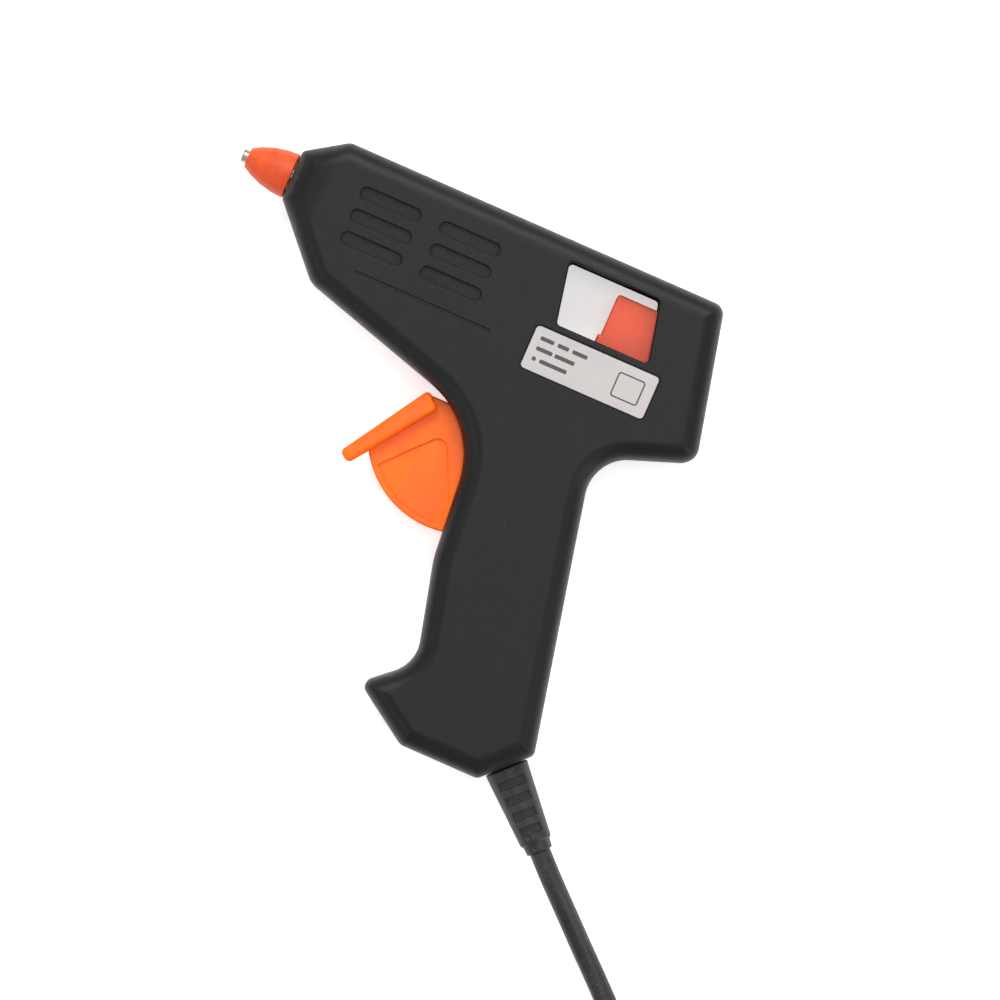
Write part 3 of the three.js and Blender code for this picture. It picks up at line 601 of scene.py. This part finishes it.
def coil_points():
    """The wound turns: spiralling in on the floor, then back out on top of themselves."""
    half = COIL["turns"] / 2
    count = round(COIL["turns"] * TURN_POINTS)
    points = []
    for k in range(count + 1):
        turn = COIL["turns"] * k / count
        angle = math.radians(COIL["start"]) - 2 * math.pi * turn
        r = COIL["r"] - 2 * CORD_R * (half - abs(half - turn))
        rise = min(1, max(0, (turn - half + 0.3) / 0.5))
        z = CORD_Z + COIL_RISE * rise * rise * (3 - 2 * rise)
        points.append((COIL["x"] + r * math.cos(angle), COIL["y"] + r * math.sin(angle), z))
    return points


def build_cord():
    route = smooth([*CORD_OUT, *coil_points(), *CORD_IN], 3)
    curve = round_curve("mains_cord", [place(*p) for p in route], CORD_R * MM, 5)
    made = linked("mains_cord", curve)
    curve.materials.append(FINISHES["cord_black"])
    length = sum((b - a).length for a, b in zip(route, route[1:])) * MM
    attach(made, "housing")
    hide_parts("cord", "cord_coil", "cord_tail")
    return made, length


cord, cord_length = build_cord()


def cord_tie():
    """A flat releasable tie round the turns of the coil, with its buckle on top."""
    angle = math.radians(TIE["at"])
    out = Vector((math.cos(angle), math.sin(angle), 0))
    across = Vector((-out.y, out.x, 0))
    centre = Vector((COIL["x"], COIL["y"], 0)) + out * TIE["r"]

    def ring(grow, width, least):
        """The strap's outline, moved out by grow and no lower than least."""
        reach = TIE["reach"] + grow
        box = square((-reach, reach), (TIE["low"] - grow, TIE["high"] + grow))
        at = centre + across * width
        return [at + out * p.x + Vector((0, 0, max(p.y, least)))
                for p in rounded([(*p, 2.4 + grow) for p in box], 0, 15)]

    verts = []
    for width in (-TIE["half"], TIE["half"]):
        verts += ring(TIE["thick"] / 2, width, 0.03) + ring(-TIE["thick"] / 2, width, 0.45)
    count = len(verts) // 4
    faces = []
    for a, b in ((0, 1), (1, 3), (3, 2), (2, 0)):
        for i in range(count):
            j = (i + 1) % count
            faces.append([a * count + i, a * count + j, b * count + j, b * count + i])
    strap = solid(verts, faces)
    buckle = pillow([(-4, -4.2, 1), (4, -4.2, 1), (4, 4.2, 1), (-4, 4.2, 1)],
                    TIE["high"] - 0.1, TIE["high"] + 1.5, 0.5)
    buckle.data.transform(Matrix.Translation(centre) @ Matrix.Rotation(angle, 4, "Z"))
    return join(strap, buckle)


tie = piece("cord_tie", cord_tie(), "housing", "cord_black")

# ---------------------------------------------------------------- housing halves


def nose_share(x):
    """How much of its height a side keeps at x, where the nose tapers."""
    t = min(1, max(0, (NOSE["x"] - x) / (NOSE["x"] - NOSE["tip"])))
    return 1 - NOSE["share"] * t * t * (3 - 2 * t)


def taper(made):
    mesh = bmesh.new()
    mesh.from_mesh(made.data)
    for k in range(NOSE["slices"]):
        x = NOSE["x"] + (NOSE["tip"] - NOSE["x"]) * k / NOSE["slices"]
        everything = mesh.verts[:] + mesh.edges[:] + mesh.faces[:]
        bmesh.ops.bisect_plane(mesh, geom=everything, plane_co=(x, 0, 0), plane_no=(1, 0, 0))
    for v in mesh.verts:
        v.co.z = MID + (v.co.z - MID) * nose_share(v.co.x)
    mesh.to_mesh(made.data)
    mesh.free()
    return made


def shell(side, grow, edge, reach, steps):
    """One half's outside, or its cavity when grow is the wall."""
    seam_edge = [(0.25, SEAM), (0.07, SEAM + 0.07), (0, SEAM + 0.25)]
    levels = [(grow, 0)] if grow else seam_edge
    levels += [(grow + edge * over, reach - edge + edge * up) for over, up in quarter(steps)]
    return taper(loft([(rounded(HOUSING, inset), MID + side * h) for inset, h in levels]))


def slab(outline, side, near, far):
    return prism(outline, *sorted((MID + side * near, MID + side * far)))


def mouth(corners, side, deep, rim, face=MID):
    """A cutter for a hole in a side face, whose rim is rounded over."""
    levels = [(-rim, face + 1)]
    levels += [(-rim * (1 - up), face - rim * over) for over, up in quarter(4)]
    levels.append((0, face - deep))
    return loft([(rounded(corners, inset, 15), MID + side * h) for inset, h in levels])


def vent_mouths(side):
    half = VENT["half"]
    return [mouth([(*p, half - 0.02) for p in square((x, x + VENT["w"]), (y - half, y + half))],
                  side, VENT["deep"], 0.3)
            for x in VENT["x"] for y in VENT["y"]]


def along_exit(distance, across=0.0):
    return (EXIT[0] + EXIT_DIR[0] * distance - EXIT_DIR[1] * across,
            EXIT[1] + EXIT_DIR[1] * distance + EXIT_DIR[0] * across)


def exit_turned(profile):
    return turned(profile, (*EXIT, MID), (*EXIT_DIR, 0))


def rod(x, y, r, low, high):
    return prism(circle(x, y, r, 40), low, high)


def inner_ribs(side):
    """Posts, seats and rails that stand inside a half."""
    reach = MID - 1
    ribs = [slab(circle(x, y, 3.2 if side > 0 else 4.5), side, SEAM, reach) for x, y in SCREWS]
    ribs += [cut(slab(square(x, y), side, SEAM, reach), barrel_rod(x[0] - 1, x[1] + 1, r))
             for x, y, r in SEATS]
    ribs.append(slab(square(RAIL["x"], RAIL["y"]), side, RAIL["h"], reach))
    ribs.append(slab(circle(*PIVOT, 4), side, SLOT["half"], reach))
    if side < 0:
        post = SPRING_POST
        ribs.append(rod(post["x"], post["y"], post["r"], 1, post["top"]))
        ribs += [rod(*along_exit(-CLAMP["back"], s * CLAMP["half"]), CLAMP["post"], 1, CLAMP["low"])
                 for s in (-1, 1)]
    return ribs


def lip(side):
    """The tongue inside the seam: it stands on the left half and has a rebate in the right."""
    gap = 0 if side > 0 else 0.12
    near, far = (-1.1, 2) if side > 0 else (-0.5, 1.25)
    ring = slab(rounded(HOUSING, 1.1 - gap), side, near, far)
    return cut(ring, slab(rounded(HOUSING, WALL + gap * 4), side, near - 1, far + 1))


def step_line(side):
    """A shallow moulded line along the lower side of the barrel."""
    corners = [(-37, 26.0, 0.25), (-3, 26.0, 0.25), (-3, 26.6, 0.25), (-37, 26.6, 0.25)]
    return mouth(corners, side, 0.35, 0.25)


def screw_holes(side):
    shank = SCREW["shank"] + GAP
    if side > 0:
        return [rod(x, y, shank, MID - 1, SCREW["tip"] + 0.6) for x, y in SCREWS]
    head, seat, rim = SCREW["head"] + GAP, SCREW["seat"] + GAP, 0.35
    round_rim = [(rim * over, head + rim * (1 - up)) for over, up in quarter(4)]
    profile = [(-1, 0), (-1, head + rim), *round_rim, (seat, head), (seat, shank),
               (MID + 1, shank), (MID + 1, 0)]
    return [turned(profile, (x, y, 0), (0, 0, 1)) for x, y in SCREWS]


def label_corners(grow):
    (x0, x1), (y0, y1) = LABEL["x"], LABEL["y"]
    box = square((x0 - grow, x1 + grow), (y0 - grow, y1 + grow))
    return [(*p, LABEL["r"] + grow) for p in box]


def housing_half(side):
    half = shell(side, 0, EDGE_R, MID, 8)
    half = cut(half, shell(side, WALL, 3, MID - WALL, 4))
    ribs = inner_ribs(side)
    whole = shell(side, 0.3, EDGE_R, MID - 0.3, 6)
    inside = combine(join(ribs[0], *ribs[1:]), [whole], "INTERSECT")
    half = join(half, inside, lip(side)) if side > 0 else cut(join(half, inside), lip(side))
    holes = [
        *screw_holes(side),
        *vent_mouths(side),
        mouth(WINDOW, side, MID + 2, 0.5),
        step_line(side),
        barrel_rod(-62.5, -55.5, NOZZLE_HOLE_R),
        barrel_rod(42, 56, STICK_HOLE_R),
        rod(*PIVOT, PIVOT_HOLE_R, 2.7, THICK - 2.7),
        exit_turned([(-8, 0), (-8, 3.6), (3, 3.6), (3, 0)]),
        mid_prism(square(SLOT["x"], SLOT["y"]), 2 * SLOT["half"]),
    ]
    if side > 0:
        holes.append(mouth(label_corners(GAP), side, LABEL["recess"], 0.15))
    return cut(half, *holes)


for half_name, half_side in (("left_housing", 1), ("right_housing", -1)):
    piece(half_name + "_shell", housing_half(half_side), "housing", "housing_black", [half_name])

# ---------------------------------------------------------------- rating label

LABEL_FACE = THICK - LABEL["top"]
piece("rating_label_film", pillow(label_corners(0), THICK - 0.5, LABEL_FACE, 0.08), "housing",
      "label_silver", ["rating_label"])

# Blank marks that stand for lines of print: start and end as shares of the label's width.
PRINT_ROWS = [
    (0.76, [(0.06, 0.17), (0.20, 0.29), (0.32, 0.44)]),
    (0.52, [(0.06, 0.19), (0.21, 0.37)]),
    (0.28, [(0.06, 0.09), (0.12, 0.34)]),
]
PRINT_TALL = 0.95
PRINT_THICK = 0.015


def print_mark(box, r, step):
    return prism(rounded([(*p, r) for p in box], 0, step), LABEL_FACE, LABEL_FACE + PRINT_THICK)


def print_marks():
    low_x, wide = LABEL["x"][0], LABEL["x"][1] - LABEL["x"][0]
    low_y, tall = LABEL["y"][0], LABEL["y"][1] - LABEL["y"][0]
    marks = []
    for height, words in PRINT_ROWS:
        y = low_y + tall * height
        for start, end in words:
            box = square((low_x + wide * start, low_x + wide * end),
                         (y - PRINT_TALL / 2, y + PRINT_TALL / 2))
            marks.append(print_mark(box, 0.25, 30))
    panel = square((low_x + wide * 0.7, low_x + wide * 0.92), (low_y + 2.2, low_y + tall - 2.2))
    outline = print_mark(panel, 0.8, 15)
    hole = prism(rounded([(*p, 0.8) for p in panel], 0.35, 15), LABEL_FACE - 1, LABEL_FACE + 1)
    marks.append(cut(outline, hole))
    return join(marks[0], *marks[1:])


piece("rating_label_print", print_marks(), "housing", "label_silver", finish=INK, weighted=False)

# ---------------------------------------------------------------- screws


def screw(x, y):
    """A pan-head cross-recess screw. Its head faces down, and its shank stands up from its seat."""
    head, shank, long, seat = SCREW["head"], SCREW["shank"], SCREW["long"], SCREW["seat"]
    reach = SCREW["tip"] - seat
    corners = [(-long, 0, 0.01), (-long, head * 0.72, 0.9), (-long * 0.45, head, 0.4),
               (0, head, 0.1), (0, shank, 0.05), (reach - 1.2, shank, 0.1), (reach, 0, 0.01)]
    body = turned(soft_profile(corners[::-1]), (x, y, seat), (0, 0, 1), 32)
    thin, wide = (-0.35, 0.35), (-1.5, 1.5)
    recess = [prism([p + Vector((x, y)) for p in square(*bar)], seat - long - 1, seat - long + 0.9)
              for bar in ((thin, wide), (wide, thin))]
    return cut(body, *recess)


for number, spot in enumerate(SCREWS, 1):
    piece(f"housing_screw_{number}_head", screw(*spot), "housing", "screw_steel",
          [f"housing_screw_{number}"])

# ---------------------------------------------------------------- hot end

CAP = [
    (-59.8, 3.7, 0.1), (-59.8, 5.5, 0.35), (-63, 5.25, 3), (-66, 4.6, 3), (-68.8, 3.5, 2),
    (-70.8, 2.35, 0.25), (-70.8, 1.95, 0.1), (-68.6, 2.8, 0.3), (-66, 3.7, 0.5), (-63, 3.8, 0.5),
]
NOZZLE = [
    (-72.2, 0.75, 0.08), (-72.2, 1.6, 0.25), (-70.4, 1.6, 0.3), (-68.8, 2.2, 0.5),
    (-66, 3.1, 0.5), (-63, 3.35, 0.5), (-55.8, 3.35, 0.05), (-55.8, 4.4, 0.1),
    (-54.9, 4.4, 0.1), (-54.9, 3.1, 0.05), (-50.2, 3.1, 0.1),
    (-50.2, 2.4, 0.05), (-64, 2.4, 0.5), (-67.5, 1.3, 0.5), (-70.5, 0.75, 0.3),
]


def along_barrel(profile):
    return turned(soft_profile(profile, 12), (0, BARREL_Y, MID), (1, 0, 0), 64)


piece("nozzle_cap_sleeve", along_barrel(CAP), "housing", "silicone_orange", ["nozzle_cap"])
piece("nozzle_tip", along_barrel(NOZZLE), "housing", "nozzle_brass", ["nozzle"])

# ---------------------------------------------------------------- trigger and carriage


def arm_outline(near, far, low, high):
    """A rectangle along the trigger's arm, from its pivot towards the drive pin."""
    reach = Vector(DRIVE) - Vector(PIVOT)
    unit = reach.normalized()
    left = Vector((-unit.y, unit.x))
    points = ((near, low), (far, low), (far, high), (near, high))
    return [Vector(PIVOT) + unit * a + left * b for a, b in points]


def web_arc(r, start, end, steps=18):
    turns = [math.radians(start + (end - start) * k / steps) for k in range(steps + 1)]
    return [(WEB_ARC["x"] + r * math.cos(t), WEB_ARC["y"] + r * math.sin(t), 0.3) for t in turns]


def trigger():
    arc = web_arc(WEB_ARC["r"], WEB_ARC["from"], WEB_ARC["to"])
    web = [(-9.8, 7.4, 0.3), *arc, (8.8, -19.8, 0.5), (8.2, 3, 0.5), (5, 7.4, 0.5)]
    arc_in = web_arc(WEB_ARC["r"] - PANEL["rim"], PANEL["from"], PANEL["to"])
    sunk = [*arc_in, (4.3, -14, 1.5), (-2.6, 0.6, 2.2)]
    body = join(
        mid_pillow(web, WEB_W, 0.5),
        mid_pillow(PLATE, 14, 1.1, steps=6),
        mid_prism(circle(*PIVOT, 4.4), WEB_W),  # the hub
        mid_prism(arm_outline(2, 12, -3.6, 3.6), WEB_W),
        mid_prism(arm_outline(8, 29.9, -3.5, 3.5), FORK_W),
        mid_prism(arm_outline(10, 14, -8.6, 0), 3),  # the spring's lug
    )
    return cut(
        body,
        *[mouth(sunk, side, PANEL["deep"], 0.35, WEB_W / 2) for side in (-1, 1)],
        mid_prism(arm_outline(22, 31, -5, 5), JAW["w"] + 2 * GAP),  # the fork's gap for the jaw
        mid_prism(arm_outline(24.2, 31, -1.7, 1.7), THICK),  # the drive pin's slot
        rod(*PIVOT, PIVOT_HOLE_R, 2, THICK - 2),
        mid_prism(circle(*LUG, 0.9, 20), 6),
    )


def carriage():
    (x0, x1), (y0, y1) = CARRIAGE["x"], CARRIAGE["y"]
    step, step_y = CARRIAGE["step"], CARRIAGE["step_y"]
    corners = [(x0 - step, y0, 0.4), (x1, y0, 0.6), (x1, y1, 0.8), (x0, y1, 0.8),
               (x0, step_y, 0.2), (x0 - step, step_y, 0.3)]
    return cut(
        mid_pillow(corners, CARRIAGE["w"], 0.5),
        barrel_rod(x0 - 2, x1 + 1, STICK_R),
        mid_prism(square((18, 33.4), (30, BARREL_Y)), JAW["w"] + 2 * GAP),
        rod(JAW["x"], JAW["y"], JAW["hole"], 0, 19.1),
    )


def grip_jaw():
    """A stamped lever with teeth along its top, which bite into the stick."""
    teeth = [point for x in (29, 27.2, 25.4, 23.6)
             for point in ((x, 36.4, 0.1), (x - 1.5, 37.2, 0.08))]
    outline = [(14.9, 27.6, 0.6), (15.7, 25.7, 1), (17.6, 24.9, 1), (19.6, 25.7, 1),
               (24, 29.6, 1.5), (31.4, 32.4, 0.8), (32.4, 34.6, 0.5), (31.6, 36.2, 0.2), *teeth,
               (21.2, 35.4, 0.2), (21.4, 33.4, 0.4), (16.2, 29.8, 1)]
    return cut(
        mid_pillow(outline, JAW["w"], 0.12),
        rod(JAW["x"], JAW["y"], JAW["hole"], 0, THICK),
        rod(*DRIVE, DRIVE_HOLE_R, 0, THICK),
    )


piece("trigger_lever", trigger(), "trigger", "trigger_orange", ["trigger"])
piece("grip_jaw_lever", grip_jaw(), "jaw", "spring_steel", ["grip_jaw"])
piece("feed_carriage_block", carriage(), "carriage", "carriage_orange", ["feed_carriage"])


def helix(start, end, r, turns, per_turn=20):
    """Points of a coil wound from a start to an end."""
    a, b = Vector(start), Vector(end)
    up = Vector((0, 0, 1))
    across = (b - a).normalized().cross(up)
    count = turns * per_turn
    out = []
    for k in range(count + 1):
        angle = 2 * math.pi * k / per_turn
        spoke = across * math.cos(angle) + up * math.sin(angle)
        out.append(a + (b - a) * (k / count) + spoke * r)
    return out


def return_spring():
    """A tension spring from the trigger's lug to the post in the right half."""
    z = MID + 2.3
    coil_r, wire_r = 1.9, 0.4
    hook_on = [(*LUG, MID - 2.4), (*LUG, MID + 1.6), (LUG[0] + 1.6, LUG[1] + 0.2, z + 0.3)]
    coil = helix((18.4, 8.6, z - coil_r), (23.4, 6.9, z - coil_r), coil_r, 5)
    reach = SPRING_POST["r"] + 2 * wire_r
    turns = [math.radians(a) for a in (120, 60, 0, -60, -110)]
    hook_off = [(SPRING_POST["x"] + reach * math.cos(t), SPRING_POST["y"] + reach * math.sin(t), z)
                for t in turns]
    return tube([*hook_on, *coil, *hook_off], wire_r)


spring = return_spring()
spring.name = spring.data.name = "return_spring_wire"
spring.data.transform(TO_FRAME)
spring.data.shade_smooth()
spring.data.materials.append(FINISHES["spring_steel"])
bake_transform(spring)
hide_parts("return_spring")

# ---------------------------------------------------------------- strain relief and plug


def relief_profile():
    """Flange, neck in the housing's hole and a boot that tapers along the cord."""
    inside, neck_r = -WALL - GAP, 3.2
    corners = [(-5, 0, 0.01), (-5, 4.8, 0.4), (inside, 4.8, 0.2), (inside, neck_r, 0.1),
               (GAP, neck_r, 0.1), (GAP, 5.2, 0.4), (18.8, 3.8, 0.6), (19.2, 3.3, 0.4),
               (RELIEF_LONG, 3.1, 0.4), (RELIEF_LONG, 0, 0.01)]
    return soft_profile(corners[::-1], 25)


def boot_slot(number):
    """Two slots across the boot, one in each face, that leave its core and its sides whole."""
    start = SLOTS["first"] + SLOTS["pitch"] * number
    half = SLOTS["half"] - 0.25 * number
    core = SLOTS["core"] - 0.12 * number
    outline = beside_exit(start, start + SLOTS["wide"], half)
    return [prism(outline, MID + core, THICK), prism(outline, 0, MID - core)]


def beside_exit(start, end, half):
    """A rectangle along the exit, half wide on each side of it."""
    points = ((start, -half), (end, -half), (end, half), (start, half))
    return [Vector(along_exit(*p)) for p in points]


def strain_relief():
    boot = exit_turned(relief_profile())
    return cut(boot, *[slot for number in range(SLOTS["count"]) for slot in boot_slot(number)])


relief = piece("strain_relief_boot", strain_relief(), "housing", "cord_black", ["strain_relief"],
               weighted=False)
soften(relief, 0.22)


def at_plug(points):
    turn = Matrix.Rotation(math.radians(-PLUG["heading"]), 2)
    return [p @ turn + Vector((PLUG["x"], PLUG["y"])) for p in points]


def plug_pillow(corners, tall, edge):
    """A plate on the plug's axis: drawn along it from the cord's end of the boot."""
    levels = pillow_levels(PLUG["z"] - tall, PLUG["z"] + tall, edge, 5)
    return loft([(at_plug(rounded(corners, inset)), z) for inset, z in levels])


def blade(side, start, grow, edge):
    y = side * BLADE["apart"] / 2
    half = BLADE["thick"] / 2 + grow
    box = square((start, PLUG_FACE + BLADE["long"]), (y - half, y + half))
    return plug_pillow([(*p, edge) for p in box], BLADE["w"] / 2 + grow, edge)


def plug_body():
    """A moulded body with grip grooves on its sides and a ringed boot round the cord."""
    half, nose = PLUG_BODY["w"] / 2, PLUG_BODY["nose"]
    start = nose - 4
    corners = [(start, -5, 2), (start + 8, -half, 6), (PLUG_FACE, -half, 2), (PLUG_FACE, half, 2),
               (start + 8, half, 6), (start, 5, 2)]
    body = plug_pillow(corners, PLUG_BODY["thick"] / 2, 2.2)
    heading = math.radians(PLUG["heading"])
    rings = [(0, 0, 0.01), (0, 3.3, 0.4)]
    for i in range(3):
        at, more = 1.6 + 2.7 * i, 0.3 * i
        rings += [(at, 3.45 + more, 0.2), (at, 2.95 + more, 0.2),
                  (at + 0.9, 3.0 + more, 0.2), (at + 0.9, 3.6 + more, 0.2)]
    rings += [(nose, 5, 0.5), (nose + 4, 5, 0.5), (nose + 4, 0, 0.01)]
    boot = turned(soft_profile(rings[::-1], 25), (PLUG["x"], PLUG["y"], PLUG["z"]),
                  (math.cos(heading), math.sin(heading), 0))
    grips = []
    for i in range(5):
        x = start + 12 + 2.6 * i
        for side in (-1, 1):
            reach = sorted((side * (half - 0.5), side * (half + 2)))
            grips.append(plug_pillow([(*p, 0.3) for p in square((x, x + 1.2), reach)], 5, 0.4))
    pockets = [blade(side, PLUG_FACE - BLADE["in"] - GAP, GAP, 0.2) for side in (-1, 1)]
    return cut(join(body, boot), *grips, *pockets)


def plug_blade(side):
    made = blade(side, PLUG_FACE - BLADE["in"], 0, 0.35)
    along, y = PLUG_FACE + BLADE["long"] - BLADE["tip"], side * BLADE["apart"] / 2
    start, aim = at_plug([Vector((along, y - 4)), Vector((along, y))])
    hole = turned([(0, 0), (0, BLADE["hole"]), (8, BLADE["hole"]), (8, 0)], (*start, PLUG["z"]),
                  (aim.x - start.x, aim.y - start.y, 0), 24)
    return cut(made, hole)


plug_pieces = [piece("plug_moulding", plug_body(), "housing", "cord_black", ["plug_body"])]
for number, blade_side in enumerate((-1, 1), 1):
    plug_pieces.append(piece(f"plug_blade_{number}_pin", plug_blade(blade_side), "housing",
                             "contact_brass", [f"plug_blade_{number}"]))

# ---------------------------------------------------------------- pieces kept from the frame


def smoothing():
    """A modifier that welds a faceted piece and shades its shallow edges smooth."""
    group = bpy.data.node_groups.new("smooth_by_angle", "GeometryNodeTree")
    group.interface.new_socket("Geometry", in_out="INPUT", socket_type="NodeSocketGeometry")
    group.interface.new_socket("Geometry", in_out="OUTPUT", socket_type="NodeSocketGeometry")
    nodes, links = group.nodes, group.links
    start, end = nodes.new("NodeGroupInput"), nodes.new("NodeGroupOutput")
    weld = nodes.new("GeometryNodeMergeByDistance")
    weld.inputs["Distance"].default_value = WELD_M
    faces, edges = nodes.new("GeometryNodeSetShadeSmooth"), nodes.new("GeometryNodeSetShadeSmooth")
    edges.domain = "EDGE"
    angle = nodes.new("GeometryNodeInputMeshEdgeAngle")
    shallow = nodes.new("FunctionNodeCompare")
    shallow.operation = "LESS_THAN"
    shallow.inputs[1].default_value = math.radians(KEPT_SHARP)
    links.new(start.outputs[0], weld.inputs[0])
    links.new(weld.outputs[0], faces.inputs[0])
    links.new(faces.outputs[0], edges.inputs[0])
    links.new(angle.outputs[0], shallow.inputs[0])
    links.new(shallow.outputs[0], edges.inputs["Shade Smooth"])
    links.new(edges.outputs[0], end.inputs[0])
    return group


SMOOTH = smoothing()
slot_of = {part["node"]: part["material_slot"] for part in frame["record"]["subparts"]}
for name, node in frame["nodes"].items():
    if node.hide_render:
        continue
    node.data.materials.clear()
    node.data.materials.append(FINISHES[slot_of[name]])
    soften(node, 0.12)
    node.modifiers.new("smooth", "NODES").node_group = SMOOTH

# ---------------------------------------------------------------- floor and light

floor_mesh = bpy.data.meshes.new("floor")
floor_mesh.from_pydata([(-3, -3, 0), (3, -3, 0), (3, 3, 0), (-3, 3, 0)], [], [(0, 1, 2, 3)])
floor_mesh.materials.append(FLOOR)
floor = linked("floor", floor_mesh)


def softbox(name, x, y, z, size, power):
    """An area light, in metres from the origin, that faces the gun."""
    lamp = bpy.data.lights.new(name, "AREA")
    lamp.shape = "RECTANGLE"
    lamp.size, lamp.size_y = size
    lamp.energy = power
    made = linked(name, lamp)
    made.location = (x, y, z)
    made.rotation_euler = (-Vector((x, y, z))).to_track_quat("-Z", "Y").to_euler()


softbox("key", -0.35, 0.75, 1.0, (0.9, 0.6), 10)
softbox("side", 0.95, -0.2, 0.7, (0.4, 1.0), 3.5)
softbox("fill", -0.8, -0.7, 0.9, (1.2, 0.6), 3.5)
softbox("overhead", 0.1, 0.25, 2.6, (0.5, 0.5), 10)
softbox("rim", 0.1, 0.9, 0.75, (1.2, 0.3), 3)
world = bpy.data.worlds.new("studio")
world.use_nodes = True
world.node_tree.nodes["Background"].inputs["Color"].default_value = (1, 1, 1, 1)
world.node_tree.nodes["Background"].inputs["Strength"].default_value = 0.5
bpy.context.scene.world = world
bpy.context.scene.view_settings.view_transform = "Standard"
